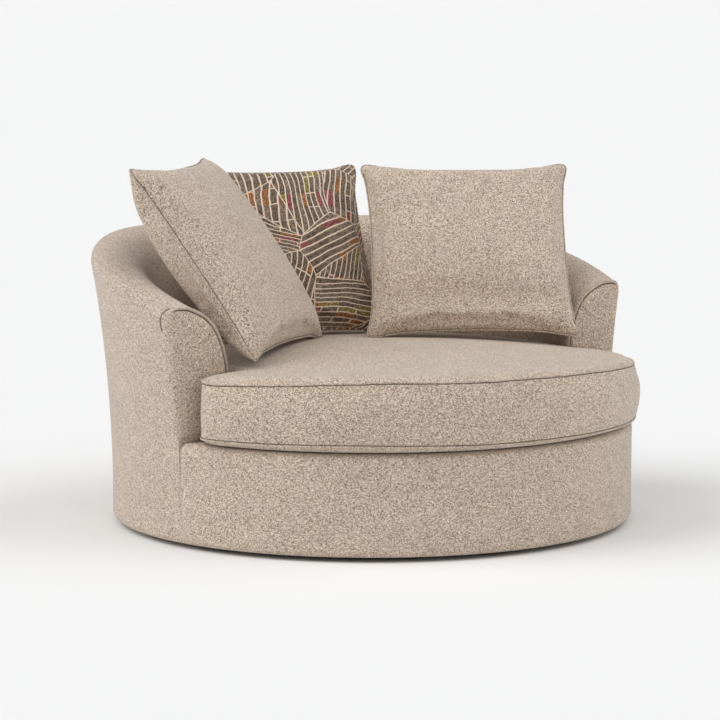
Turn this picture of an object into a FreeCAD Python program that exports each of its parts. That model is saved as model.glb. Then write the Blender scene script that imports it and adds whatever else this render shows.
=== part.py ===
import FreeCAD, Part
import Sketcher
import math
import os

from FreeCAD import Placement, Rotation, Vector

# Round swivel accent chair: a fabric tub on a drum, turning on a ball bearing
# over a low plywood foot, with a T-shaped seat cushion and three loose pillows.
# Front is -Y, up is +Z, and the origin is on the floor under the swivel axis.
# Angles round the tub are turns from the front: 90 is the sitter's left, 180 the back.

doc = FreeCAD.newDocument("swivel_accent_chair")
sheet = doc.addObject("Spreadsheet::Sheet", "sizes")

SIZES = {
    # outside of the drum and tub
    "drum_radius": 700,
    "hem_height": 12,
    "hem_round": 18,
    "hem_tuck": 30,
    "flare_start": 100,
    "flare_radius": 3450,
    "facing_front": 160,
    "rim_front_height": 618,
    "rim_back_height": 766,
    "rim_rise_start": 77,
    "rim_rise_span": 72,
    # rolled rim, from the outside shoulder over the top to the seat side
    "roll_outer_radius": 30,
    "roll_top_radius": 95,
    "roll_inner_radius": 126,
    "tub_thick": 146,
    # layers
    "cover_thick": 3,
    "ease": 0.3,
    "panel_thick": 5,
    "inner_panel_thick": 4,
    "rail_pad": 42,
    "facing_pad_thick": 6.7,
    # drum front and platform
    "deck_height": 272,
    "deck_pad_thick": 27.8,
    "lip_round": 20,
    "lip_depth": 60,
    # foot and bearing
    "glide_radius": 18,
    "glide_height": 5,
    "glide_edge": 35,
    "glide_count": 8,
    "foot_radius": 380,
    "foot_thick": 15,
    "plate_side": 305,
    "plate_corner": 28,
    "plate_thick": 4,
    "race_radius": 115,
    "ball_radius": 4,
    "ball_count": 8,
    "ball_play": 0.05,
    "cage_width": 22,
    "cage_thick": 2,
    "collar_radius": 24,
    "collar_wall": 3,
    "collar_play": 1,
    # timber frame
    "board_thick": 18,
    "frame_inset": 12,
    "foot_clear": 40,
    "bearer_width": 60,
    "bearer_height": 45,
    "bearer_offset": 95,
    "bearer_inset": 60,
    "post_width": 38,
    "post_depth": 45,
    "post_count": 7,
    "post_step": 26,
    "front_post_step": 40,
    "seat_ring_width": 87,
    "front_rail_thick": 8,
    "top_rail_height": 22,
    "arm_board_gap": 14,
    "arm_board_foot": 60,
    "dust_thick": 1,
    "dust_clear": 20,
    # webbing under the platform
    "strap_width": 70,
    "strap_thick": 2,
    "strap_pitch": 200,
    "strap_side": 2,
    "strap_inset": 56,
    # seat cushion
    "cushion_overhang": 10,
    "cushion_bulge": 14,
    "cushion_corner": 98,
    "cushion_neck": 6,
    "cushion_gap": 3,
    "cushion_thick": 208.7,
    "crown_centre": 100,
    "crown_radius_side": 3400,
    "crown_radius_deep": 6200,
    "belly_radius": 6890,
    "belly_edge": 64,
    "core_gap": 0.95,
    # loose pillows
    "left_pillow_width": 585,
    "left_pillow_height": 588,
    "left_pillow_thick": 170,
    "left_pillow_from_side": 282,
    "left_pillow_from_back": 574,
    "left_pillow_turn": 41,
    "left_pillow_lean": 35,
    "patterned_pillow_width": 502,
    "patterned_pillow_height": 545,
    "patterned_pillow_thick": 150,
    "patterned_pillow_from_side": 474,
    "patterned_pillow_from_back": 319,
    "patterned_pillow_turn": -14.4,
    "patterned_pillow_lean": 34,
    "right_pillow_width": 580,
    "right_pillow_height": 552,
    "right_pillow_thick": 165,
    "right_pillow_from_side": 282,
    "right_pillow_from_back": 642,
    "right_pillow_turn": -29,
    "right_pillow_lean": 35,
    "pillow_draw": 18,
    "pillow_corner": 40,
}


def fill_sheet():
    for row, (alias, value) in enumerate(SIZES.items(), start=1):
        sheet.set("A%d" % row, alias)
        sheet.set("B%d" % row, str(value))
        sheet.setAlias("B%d" % row, alias)
    doc.recompute()


def size(alias):
    return float(sheet.get(alias))


fill_sheet()

# plain numbers that several pieces share, all worked out from the sheet
ease = size("ease")
cover = size("cover_thick")
drum = size("drum_radius")
seat_wall = drum - size("tub_thick")
inset = size("frame_inset")
ring_low = size("hem_height") + cover + ease
ring_top = ring_low + size("board_thick")
deck_top = size("deck_height")
deck_low = deck_top - cover
platform_low = deck_low - ease - size("deck_pad_thick")
strap_low = platform_low - 2 * size("strap_thick") - 2 * ease
seat_ring_top = strap_low - ease
seat_ring_low = seat_ring_top - size("board_thick")
board_front = size("facing_front") - cover - ease - size("facing_pad_thick")
board_back = board_front - ease - size("board_thick")
big = 4 * drum

nodes = {}


def keep(label, piece):
    piece.Label = label
    nodes[label] = piece
    return piece


def shaped(label, shape):
    piece = doc.addObject("Part::Feature", label)
    piece.Shape = shape
    return keep(label, piece)


def bind(piece, **expressions):
    for name, expression in expressions.items():
        piece.setExpression(name.replace("__", "."), expression)
    return piece


def primitive(kind, name, **expressions):
    return bind(doc.addObject("Part::" + kind, name), **expressions)


# sketches and pads

def new_body(label):
    return keep(label, doc.addObject("PartDesign::Body", label))


def origin_part(body, role):
    return [part for part in body.Origin.OriginFeatures if part.Role == role][0]


def new_sketch(body, name, role="XY_Plane", height="0"):
    sketch = body.newObject("Sketcher::SketchObject", name)
    sketch.AttachmentSupport = [(origin_part(body, role), "")]
    sketch.MapMode = "FlatFace"
    sketch.setExpression("AttachmentOffset.Base.z", height)
    return sketch


def fix(sketch, kind, expression, *where):
    index = sketch.addConstraint(Sketcher.Constraint(kind, *where, 1.0))
    sketch.setExpression("Constraints[%d]" % index, expression)


def circle(sketch, radius, x="0", y="0"):
    edge = sketch.addGeometry(Part.Circle(Vector(1, 1, 0), Vector(0, 0, 1), 5))
    fix(sketch, "DistanceX", x, -1, 1, edge, 3)
    fix(sketch, "DistanceY", y, -1, 1, edge, 3)
    fix(sketch, "Radius", radius, edge)


def polygon(sketch, corners):
    count = len(corners)
    turn = 2 * math.pi / count
    spots = [Vector(9 * math.cos(turn * i), 9 * math.sin(turn * i), 0) for i in range(count)]
    edges = [sketch.addGeometry(Part.LineSegment(spots[i], spots[(i + 1) % count]))
             for i in range(count)]
    for i, (x, y) in enumerate(corners):
        sketch.addConstraint(Sketcher.Constraint("Coincident", edges[i - 1], 2, edges[i], 1))
        fix(sketch, "DistanceX", x, -1, 1, edges[i], 1)
        fix(sketch, "DistanceY", y, -1, 1, edges[i], 1)


def regular(sketch, reach, count, x="0"):
    """An even-sided outline whose corners are at a reach from its middle."""
    angles = [360.0 * (i + 0.5) / count for i in range(count)]
    polygon(sketch, [("%s + (%s) * cos(%g)" % (x, reach, a), "(%s) * sin(%g)" % (reach, a))
                     for a in angles])


def pad(body, sketch, length, name):
    feature = body.newObject("PartDesign::Pad", name)
    feature.Profile = sketch
    feature.setExpression("Length", length)
    body.Tip = feature
    return feature


def groove(body, sketch, name):
    feature = body.newObject("PartDesign::Groove", name)
    feature.Profile = sketch
    feature.ReferenceAxis = (sketch, ["V_Axis"])
    feature.Angle = 360
    body.Tip = feature
    return feature


def holes_round(body, sketch, depth, count, name):
    cut = body.newObject("PartDesign::Pocket", name)
    cut.Profile = sketch
    cut.Reversed = True
    cut.setExpression("Length", depth)
    doc.recompute()
    pattern = body.newObject("PartDesign::PolarPattern", name + "_round")
    pattern.Originals = [cut]
    pattern.Axis = (origin_part(body, "Z_Axis"), [""])
    pattern.Angle = 360
    pattern.setExpression("Occurrences", count)
    body.Tip = pattern
    return pattern


# foot and ball bearing

def glide(x, y):
    return primitive("Prism", "glide", Circumradius="sizes.glide_radius",
                     Height="sizes.glide_height", Polygon="12",
                     Placement__Base__x=x, Placement__Base__y=y)


def make_foot():
    keep("foot_disc", primitive(
        "Cylinder", "foot_disc", Radius="sizes.foot_radius", Height="sizes.foot_thick",
        Placement__Base__z="sizes.glide_height"))
    count = int(size("glide_count"))
    turns = [360.0 * i / count for i in range(count)]
    circle_at = "(sizes.foot_radius - sizes.glide_edge) * "
    glides = [glide("0 mm", "0 mm")]
    glides += [glide(circle_at + "cos(%g)" % turn, circle_at + "sin(%g)" % turn)
               for turn in turns]
    group = doc.addObject("Part::Compound", "floor_glides")
    group.Links = glides
    keep("floor_glides", group)


LOWER_PLATE_LOW = "(sizes.glide_height + sizes.foot_thick)"
LOWER_PLATE_TOP = "(sizes.glide_height + sizes.foot_thick + sizes.plate_thick)"
UPPER_PLATE_TOP = "(sizes.hem_height + sizes.cover_thick + sizes.ease + sizes.board_thick)"
UPPER_PLATE_LOW = "(%s - sizes.plate_thick)" % UPPER_PLATE_TOP
BALL_LEVEL = "((%s + %s) / 2)" % (LOWER_PLATE_TOP, UPPER_PLATE_LOW)


def plate_blank(label, low):
    body = new_body(label)
    outline = new_sketch(body, label + "_outline", height=low)
    half = "sizes.plate_side / 2"
    near = "(sizes.plate_side / 2 - sizes.plate_corner)"
    corners = [(half, near), (near, half), ("-" + near, half), ("-" + half, near),
               ("-" + half, "-" + near), ("-" + near, "-" + half), (near, "-" + half),
               (half, "-" + near)]
    polygon(outline, corners)
    return body, outline


def race_groove(body, label, face, side):
    # a V-shaped race whose two flanks the balls touch
    reach = "((sizes.ball_radius + sizes.ball_play) * 1.41421356)"
    tip = "(%s %s %s)" % (BALL_LEVEL, side, reach)
    sketch = new_sketch(body, label + "_race", role="XZ_Plane")
    half = "abs(%s - %s)" % (tip, face)
    polygon(sketch, [("sizes.race_radius", tip), ("sizes.race_radius + " + half, face),
                     ("sizes.race_radius - " + half, face)])
    groove(body, sketch, label + "_groove")


def make_bearing():
    lower, outline = plate_blank("lower_bearing_plate", LOWER_PLATE_LOW)
    pad(lower, outline, "sizes.plate_thick", "lower_plate")
    rim = new_sketch(lower, "collar_ring", height=LOWER_PLATE_LOW)
    circle(rim, "sizes.collar_radius")
    circle(rim, "sizes.collar_radius - sizes.collar_wall")
    pad(lower, rim, "%s - %s" % (UPPER_PLATE_TOP, LOWER_PLATE_LOW), "collar")
    race_groove(lower, "lower", LOWER_PLATE_TOP, "-")

    upper, outline = plate_blank("upper_bearing_plate", UPPER_PLATE_LOW)
    circle(outline, "sizes.collar_radius + sizes.collar_play")
    pad(upper, outline, "sizes.plate_thick", "upper_plate")
    race_groove(upper, "upper", UPPER_PLATE_LOW, "+")

    cage = new_body("ball_cage")
    cage_low = "%s - sizes.cage_thick / 2" % BALL_LEVEL
    ring = new_sketch(cage, "cage_ring", height=cage_low)
    regular(ring, "sizes.race_radius + sizes.cage_width / 2", 24)
    regular(ring, "sizes.race_radius - sizes.cage_width / 2", 24)
    pad(cage, ring, "sizes.cage_thick", "cage_disc")
    pocket = new_sketch(cage, "ball_pocket", height=cage_low)
    regular(pocket, "(sizes.ball_radius + sizes.ease) / cos(22.5)", 8, "sizes.race_radius")
    holes_round(cage, pocket, "sizes.cage_thick", "sizes.ball_count", "ball_pockets")
    count = int(size("ball_count"))
    balls = [ball_shape(360.0 * i / count) for i in range(count)]
    shaped("bearing_balls", Part.makeCompound(balls))


def ball_shape(turn):
    """A ball built up from flats, of which two rings bear on the races."""
    reach = size("ball_radius") / math.cos(math.radians(15))
    level = (size("glide_height") + size("foot_thick") + size("plate_thick")
             + ring_top - size("plate_thick")) / 2
    rings = [polar((0, level), reach, angle) for angle in (-60, -30, 0, 30, 60)]
    wires = [outline_wire(chain([polar((0, 0), radius, 30 * i) for i in range(12)]),
                          lambda p, height=height: Vector(p[0], p[1], height))
             for radius, height in rings]
    ball = straight_loft(wires)
    ball.translate(spot(size("race_radius"), 0, turn + 90))
    return ball


# timber rings and bearers

def ring_board(label, radius, opening, low, thick):
    body = new_body(label)
    outline = new_sketch(body, label + "_outline", height=low)
    circle(outline, radius)
    regular(outline, "%s / cos(22.5)" % opening, 8)
    pad(body, outline, thick, label + "_board")
    return body


def make_rings():
    ring_board("bottom_ring", "sizes.drum_radius - sizes.hem_round - sizes.cover_thick",
               "(sizes.foot_radius + sizes.foot_clear)",
               "sizes.hem_height + sizes.cover_thick + sizes.ease", "sizes.board_thick")
    ring_board("dust_cover", "(sizes.drum_radius - sizes.hem_round - sizes.hem_tuck)"
               " * cos(%g) - sizes.ease" % (TUB_STEP / 2),
               "(sizes.foot_radius + sizes.dust_clear)",
               "sizes.hem_height + sizes.cover_thick - sizes.dust_thick", "sizes.dust_thick")
    half = ("sqrt((sizes.drum_radius - sizes.bearer_inset) ^ 2"
            " - (sizes.bearer_offset + sizes.bearer_width / 2) ^ 2)")
    bearers = []
    for side in ("-", "+"):
        bearers.append(primitive(
            "Box", "bearer", Width="sizes.bearer_width", Height="sizes.bearer_height",
            Length="2 * " + half, Placement__Base__x="-" + half,
            Placement__Base__y="%ssizes.bearer_offset - sizes.bearer_width / 2" % side,
            Placement__Base__z=UPPER_PLATE_TOP + " + sizes.ease"))
    group = doc.addObject("Part::Compound", "swivel_bearers")
    group.Links = bearers
    keep("swivel_bearers", group)


# profile of the tub wall, in the upright plane through the axis

def spot(radius, height, turn):
    angle = math.radians(turn)
    return Vector(radius * math.sin(angle), -radius * math.cos(angle), height)


def rim_height(turn):
    side = turn if turn <= 180 else 360 - turn
    along = max(0.0, min((side - size("rim_rise_start")) / size("rim_rise_span"), 1.0))
    rise = size("rim_back_height") - size("rim_front_height")
    return size("rim_front_height") + rise * math.sin(math.radians(90 * along))


def polar(centre, radius, degrees):
    angle = math.radians(degrees)
    return (centre[0] + radius * math.cos(angle), centre[1] + radius * math.sin(angle))


OUTER_TURN = 73.0
TOP_TURN = 112.0
INNER_TURN = 155.0


class Roll:
    """The rim's profile at one turn, drawn in by a depth under the visible surface.

    Four arcs run tangent to one another: the outside shoulder, the broad top,
    the seat side and the long lean down to the upright seat wall.
    """

    def __init__(self, turn, depth):
        outer, top, inner = (size("roll_%s_radius" % name) for name in ("outer", "top", "inner"))
        flare, start = size("flare_radius"), size("flare_start")
        rise = (outer - top) * math.sin(math.radians(OUTER_TURN)) + top
        shoulder = rim_height(turn) - rise
        for _ in range(6):
            lean = math.asin((shoulder - start) / flare)
            shoulder = rim_height(turn) - rise - outer * math.sin(lean)
        self.lean = math.degrees(lean)
        self.flare_centre = (drum + flare, start)
        self.flare_radius = flare + depth
        wall = drum + flare - math.sqrt(flare ** 2 - (shoulder - start) ** 2)
        self.outer_centre = polar((wall, shoulder), -outer, -self.lean)
        self.top_centre = polar(self.outer_centre, outer - top, OUTER_TURN)
        self.inner_centre = polar(self.top_centre, top - inner, TOP_TURN)
        edge = polar(self.inner_centre, inner, INNER_TURN)
        lean_radius = (edge[0] - seat_wall) / (1 + math.cos(math.radians(INNER_TURN)))
        self.lean_centre = polar(edge, -lean_radius, INNER_TURN)
        self.radii = (outer - depth, top - depth, inner - depth, lean_radius - depth)
        self.depth = depth

    def bend(self, name):
        index = ("outer", "top", "inner", "lean").index(name)
        centre = (self.outer_centre, self.top_centre, self.inner_centre, self.lean_centre)[index]
        begin = (-self.lean, OUTER_TURN, TOP_TURN, INNER_TURN)[index]
        end = (OUTER_TURN, TOP_TURN, INNER_TURN, 180.0)[index]
        return centre, self.radii[index], begin, end

    def arc(self, name):
        """Start, middle and end of one of the four arcs, as (radius, height)."""
        return self.chords(name, 2)

    def chords(self, name, count, begin=0.0, end=1.0):
        """Points along one of the four arcs, between two shares of its length."""
        centre, radius, first, last = self.bend(name)
        shares = [begin + (end - begin) * i / count for i in range(count + 1)]
        return [polar(centre, radius, first + (last - first) * share) for share in shares]

    def wall(self, height):
        """Radius of the outside wall at a height."""
        rise = max(height - self.flare_centre[1], 0.0)
        return self.flare_centre[0] - math.sqrt(self.flare_radius ** 2 - rise ** 2)

    def flare(self, low, high):
        middle = (low + high) / 2
        return [(self.wall(z), z) for z in (low, middle, high)]

    def wall_chords(self, low, high):
        """The flared wall as chords between levels that every layer shares."""
        levels = [z for z in FLARE_LEVELS if low + 1 < z < high - 1]
        return [(self.wall(z), z) for z in [low] + levels + [high]]

    def shoulder_height(self):
        return self.arc("outer")[0][1]


def outline_wire(pieces, place):
    """A closed wire through lines (two points) and arcs (three points)."""
    edges = []
    for piece in pieces:
        spots = [place(p) for p in piece]
        if len(spots) == 2:
            edges.append(Part.makeLine(*spots))
        else:
            edges.append(Part.Arc(*spots).toShape())
    return Part.Wire(edges)


def chain(points):
    """Lines from each point to the next and back to the first."""
    return [(points[i], points[(i + 1) % len(points)]) for i in range(len(points))]


def backward(points):
    return list(reversed(points))


def behind(shape, depth):
    """The part of a shape behind the upright plane y = -depth."""
    return shape.common(Part.makeBox(2 * big, big, big, Vector(-big, -depth, -1)))


def ahead(shape, depth):
    return shape.common(Part.makeBox(2 * big, big, big, Vector(-big, -depth - big, -1)))


def flat_patches(patch):
    """A patch's corners as one plane, or as two triangles where it is twisted."""
    corners = [vertex.Point for vertex in patch.OuterWire.OrderedVertexes]
    if len(corners) == 4:
        a, b, c, d = corners
        normal = (b - a).cross(c - a).normalize()
        if abs(normal.dot(d - a)) > 1e-7:
            if (a - c).Length < (b - d).Length:
                return [[a, b, c], [a, c, d]]
            return [[a, b, d], [b, c, d]]
    return [corners]


def straight_loft(wires):
    """A ruled loft through straight-sided wires, with its patches made flat."""
    faces = [Part.Face(Part.makePolygon(corners + corners[:1]))
             for patch in Part.makeLoft(wires, True, True).Faces for corners in flat_patches(patch)]
    shell = Part.makeShell(faces)
    shell.sewShape()
    solid = Part.Solid(shell)
    if solid.Volume < 0:
        solid.reverse()
    return solid


TUB_START = 72.0
TUB_STEP = 8.0
FACET_SAG = (drum + 50) * (1 - math.cos(math.radians(TUB_STEP / 2)))
FLARE_LEVELS = (size("flare_start"), 320.0, 530.0)
SEAM_SHARE = 0.75
SEAM_GAP = 16.0


def tub_turns():
    count = round((360 - 2 * TUB_START) / TUB_STEP)
    return [TUB_START + TUB_STEP * i for i in range(count + 1)]


def tub_loft(profile):
    """A layer of the tub, through its closed profile at every step round the back."""
    wires = [outline_wire(chain(profile(turn)), lambda p, turn=turn: spot(p[0], p[1], turn))
             for turn in tub_turns()]
    return straight_loft(wires)


def hem_points(depth):
    hem, bend = size("hem_height"), size("hem_round")
    corner = (drum - bend, hem + bend)
    start = [(drum - bend - size("hem_tuck"), hem + depth)]
    return start + [polar(corner, bend - depth, a) for a in (-90, -52, -16, 0)]


def outside_skin(turn, depth):
    """From the tucked hem up the wall and over the rim to the seam on top."""
    roll = Roll(turn, depth)
    wall = roll.wall_chords(size("flare_start"), roll.shoulder_height())
    return (hem_points(depth) + wall + roll.chords("outer", 3)[1:]
            + roll.chords("top", 2, 0.0, SEAM_SHARE)[1:])


def inside_skin(turn, depth):
    """From the seam on top down the seat side to below the platform's top."""
    roll = Roll(turn, depth)
    return (roll.chords("top", 1, SEAM_SHARE, 1.0) + roll.chords("inner", 3)[1:]
            + roll.chords("lean", 3)[1:] + [(seat_wall + depth, platform_low)])


def outside_profile(turn):
    return outside_skin(turn, 0.0) + backward(outside_skin(turn, cover))


def inside_profile(turn):
    skin = inside_skin(turn, 0.0)
    back = inside_skin(turn, cover)
    # the two covers part by a hair at their seam
    shift = (ease * (skin[1][0] - skin[0][0]) / SEAM_GAP, ease * (skin[1][1] - skin[0][1]) / SEAM_GAP)
    skin[0] = (skin[0][0] + shift[0], skin[0][1] + shift[1])
    back[0] = (back[0][0] + shift[0], back[0][1] + shift[1])
    return skin + backward(back)


def rail_top(turn):
    return rim_height(turn) - size("rail_pad")


def padding_profile(turn):
    depth = cover + ease
    roll = Roll(turn, depth)
    low, high = platform_low, rail_top(turn) + ease
    shell = inset + size("post_depth") + 2 * ease + size("inner_panel_thick")
    shoulder = roll.shoulder_height()
    outer = [(roll.wall(high), high)] if high < shoulder - 1 else []
    outer += roll.chords("outer", 3) + roll.chords("top", 2, 0.0, SEAM_SHARE)[1:]
    panel = Roll(turn, shell).wall_chords(low, high)
    return outer + inside_skin(turn, depth)[1:] + panel


def sheet_profile(turn, depth, thick, low, high):
    """A thin bent panel that follows the flared wall at a depth."""
    near, far = Roll(turn, depth), Roll(turn, depth + thick)
    return near.wall_chords(low, high) + backward(far.wall_chords(low, high))


def outer_panel_profile(turn):
    low = size("hem_height") + size("hem_round") + 1
    depth = inset - ease - size("panel_thick")
    return sheet_profile(turn, depth, size("panel_thick"), low, rail_top(turn))


def inner_panel_profile(turn):
    depth = inset + size("post_depth") + ease
    return sheet_profile(turn, depth, size("inner_panel_thick"), platform_low, rail_top(turn))


def top_rail_profile(turn):
    high = rail_top(turn)
    low = high - size("top_rail_height")
    near = Roll(turn, inset).wall(low)
    far = Roll(turn, inset + size("post_depth")).wall(high)
    return [(near, low), (near, high), (far, high), (far, low)]


def make_tub():
    front = size("facing_front") - cover - ease
    shaped("outside_cover", behind(tub_loft(outside_profile), front))
    shaped("inside_cover", behind(tub_loft(inside_profile), front))
    shaped("tub_padding", behind(tub_loft(padding_profile), board_back))
    shaped("outer_panel", behind(tub_loft(outer_panel_profile), board_back))
    shaped("inner_panel", behind(tub_loft(inner_panel_profile), board_back))
    shaped("top_rail", behind(tub_loft(top_rail_profile), board_back))


# posts that carry the rail, and the notches they need in the seat ring

def post_turns():
    count = int(size("post_count"))
    return [180 + size("post_step") * (i - (count - 1) / 2) for i in range(count)]


def post_shape(turn, grow=0.0):
    low = ring_top + ease
    high = rail_top(turn) - size("top_rail_height") - 3 * ease
    high -= max(rail_top(turn) - rail_top(turn - 2), rail_top(turn) - rail_top(turn + 2), 0)
    near = Roll(turn, inset + ease + FACET_SAG - grow)
    far = Roll(turn, inset + size("post_depth") - ease + grow)
    points = near.wall_chords(low, high) + backward(far.wall_chords(low, high))
    face = Part.Face(outline_wire(chain(points), lambda p: spot(p[0], p[1], 0)))
    width = size("post_width") + 2 * grow
    post = face.extrude(Vector(width, 0, 0))
    post.translate(Vector(-width / 2, 0, 0))
    post.rotate(Vector(0, 0, 0), Vector(0, 0, 1), turn)
    return post


def front_post_shapes():
    step = size("front_post_step")
    outer = drum - inset - size("front_rail_thick") - FACET_SAG - ease
    posts = []
    for turn in (-step, 0, step):
        width, depth = size("post_width"), size("post_depth") - size("front_rail_thick")
        post = Part.makeBox(width, depth, seat_ring_low - ring_top - 2 * ease,
                            Vector(-width / 2, -outer, ring_top + ease))
        post.rotate(Vector(0, 0, 0), Vector(0, 0, 1), turn)
        posts.append(post)
    return posts


FRONT_TURN = 80.0


def front_loft(points):
    """A profile carried round the front in the same short spans as the tub."""
    count = round(2 * FRONT_TURN / TUB_STEP)
    wires = [outline_wire(chain(points), lambda p, turn=turn: spot(p[0], p[1], turn))
             for turn in [TUB_STEP * i - FRONT_TURN for i in range(count + 1)]]
    return straight_loft(wires)


def make_frame():
    shaped("frame_posts", Part.makeCompound([post_shape(turn) for turn in post_turns()]))
    shaped("front_posts", Part.makeCompound(front_post_shapes()))
    outer = drum - inset
    inner = outer - size("front_rail_thick")
    low, high = ring_top + ease, deck_low - 13
    rail = front_loft([(inner, low), (outer, low), (outer, high), (inner, high)])
    shaped("front_rail", ahead(rail, board_front + ease))
    edge = "(sizes.drum_radius - sizes.frame_inset - sizes.front_rail_thick - 3)"
    blank = ring_board("seat_ring_blank", edge, "(" + edge + " - sizes.seat_ring_width)",
                       "%.6f" % seat_ring_low, "sizes.board_thick")
    nodes.pop("seat_ring_blank")
    doc.recompute()
    notches = [post_shape(turn, 2 * ease) for turn in post_turns()]
    notches += [arm_board_shape(side, 2 * ease) for side in (-1, 1)]
    shaped("seat_ring", blank.Shape.cut(Part.makeCompound(notches)))


# arm fronts: plywood board, thin pad and fabric facing, all on the flat arm end

def on_plane(depth, side):
    """Places a (radius, height) point on the upright plane y = -depth."""
    return lambda p: Vector(side * math.sqrt(p[0] ** 2 - depth ** 2), -depth, p[1])


def arm_turn(depth):
    return math.degrees(math.acos(depth / (drum - 5)))


def arm_board_shape(side, grow=0.0):
    depth = size("arm_board_gap") - grow
    roll = Roll(arm_turn(board_front), depth)
    step = drum - size("arm_board_foot") - grow
    foot = ring_top + ease - grow
    seat = platform_low + 3 * ease - grow
    shoulder = roll.arc("outer")
    wall = seat_wall + depth
    outer_low = [(roll.wall(z), z) for z in (foot, size("flare_start"))]
    pieces = [(outer_low[0], outer_low[1]), roll.flare(size("flare_start"), shoulder[0][1]),
              shoulder, roll.arc("top"), roll.arc("inner"), roll.arc("lean"),
              (roll.arc("lean")[2], (wall, seat)), ((wall, seat), (step, seat)),
              ((step, seat), (step, foot)), ((step, foot), outer_low[0])]
    wire = outline_wire(pieces, on_plane(board_front, side))
    thick = size("board_thick") + 2 * grow
    board = Part.Face(wire).extrude(Vector(0, thick, 0))
    board.translate(Vector(0, -grow, 0))
    return board


def arm_end_face(side, depth, drawn_in):
    roll = Roll(arm_turn(depth), drawn_in)
    lip = size("lip_round")
    corner = (drum - lip, deck_top - lip)
    shoulder = roll.arc("outer")
    wall = seat_wall + drawn_in
    low = deck_top + ease
    lip_arc = [polar(corner, lip + ease, a) for a in (90, 45, 0)]
    pieces = [((wall, low), lip_arc[0]), lip_arc, (lip_arc[2], (roll.wall(corner[1]), corner[1])),
              roll.flare(corner[1], shoulder[0][1]), shoulder, roll.arc("top"),
              roll.arc("inner"), roll.arc("lean"), (roll.arc("lean")[2], (wall, low))]
    if drawn_in > 0:
        pieces[0:3] = [((wall, low), (roll.wall(low), low))]
        pieces[1] = roll.flare(low, shoulder[0][1])
    else:
        pieces.pop(2)
        pieces[1] = [lip_arc[0], lip_arc[1], (roll.wall(corner[1]), corner[1])]
    return Part.Face(outline_wire(pieces, on_plane(depth, side)))


def make_arm_fronts():
    for side, name in ((-1, "left"), (1, "right")):
        shaped(name + "_arm_board", arm_board_shape(side))
        front = size("facing_front")
        skin = arm_end_face(side, front, 0.0).extrude(Vector(0, cover, 0))
        shaped(name + "_arm_facing", skin)
        pad_front = front - cover - ease
        pad_face = arm_end_face(side, pad_front, cover + 2 * ease + FACET_SAG)
        shaped(name + "_facing_pad",
               pad_face.extrude(Vector(0, size("facing_pad_thick") - ease, 0)))


# front of the drum

def border_skin(depth):
    lip = size("lip_round")
    corner = (drum - lip, deck_top - lip)
    arc = [polar(corner, lip - depth, a) for a in (0, 30, 60, 90)]
    return hem_points(depth) + arc + [(drum - size("lip_depth"), deck_top - depth)]


def make_front():
    front = size("facing_front") - cover
    skin = front_loft(border_skin(0.0) + backward(border_skin(cover)))
    shaped("front_border_cover", ahead(skin, front))

    depth = cover + ease
    low = size("hem_height") + size("hem_round") + 1
    rail_high = deck_low - 13 + ease
    back = drum - inset + ease
    points = [(back, low), (drum - depth, low)] + border_skin(depth)[5:] + [
        (drum - size("lip_depth"), rail_high), (back, rail_high)]
    shaped("front_border_pad", ahead(front_loft(points), front))


# platform under the cushion

def seat_outline(rear, front, back_line, place):
    """Round behind the arm line and wider round ahead of it, with square shoulders."""
    flat = math.cos(math.radians(TUB_STEP / 2))
    rear_side = math.sqrt((flat * rear) ** 2 - back_line ** 2)
    front_side = math.sqrt((flat * front) ** 2 - back_line ** 2)
    rear_points = [spot(rear, 0, turn) for turn in tub_turns()]
    rear_points = [(p.x, p.y) for p in rear_points if p.y > -back_line + 5]
    turns = [FRONT_TURN - TUB_STEP * i for i in range(round(2 * FRONT_TURN / TUB_STEP) + 1)]
    front_points = [spot(front, 0, -turn) for turn in turns]
    front_points = [(p.x, p.y) for p in front_points if p.y < -back_line - 5]
    corners = ([(rear_side, -back_line)] + rear_points + [(-rear_side, -back_line)]
               + [(-front_side, -back_line)] + front_points + [(front_side, -back_line)])
    return outline_wire(chain(corners), place)


def strap_side_view(phase, half_length):
    """Wavy long side of a strap: (distance along, height) corners, bottom then top."""
    pitch, half = size("strap_pitch"), size("strap_width") / 2 + 8
    count = int(size("strap_side"))
    step = size("strap_thick") + ease
    low = []
    for i in range(-count, count + 1):
        if abs(i * pitch) + half > half_length:
            continue
        lift = step if (i + phase) % 2 else 0.0
        low += [(i * pitch - half, strap_low + lift), (i * pitch + half, strap_low + lift)]
    ends = [(-half_length, strap_low), (half_length, strap_low)]
    low = [ends[0]] + low + [ends[1]]
    thick = size("strap_thick")
    return low + backward([(x, z + thick) for x, z in low])


def make_webbing():
    reach, width = drum - size("strap_inset"), size("strap_width")
    count = int(size("strap_side"))
    along, across = [], []
    for i in range(-count, count + 1):
        offset = i * size("strap_pitch")
        half_length = math.sqrt(reach ** 2 - (abs(offset) + width / 2) ** 2)
        for phase, group in ((i, along), (i + 1, across)):
            corners = [Vector(x, -width / 2, z) for x, z in strap_side_view(phase, half_length)]
            face = Part.Face(Part.makePolygon(corners + corners[:1]))
            strap = face.extrude(Vector(0, width, 0))
            strap.translate(Vector(0, offset, 0))
            if group is along:
                strap.rotate(Vector(0, 0, 0), Vector(0, 0, 1), 90)
                strap.translate(Vector(2 * offset, 0, 0))
            group.append(strap)
    shaped("webbing_lengthwise", Part.makeCompound(along))
    shaped("webbing_crosswise", Part.makeCompound(across))


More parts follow.
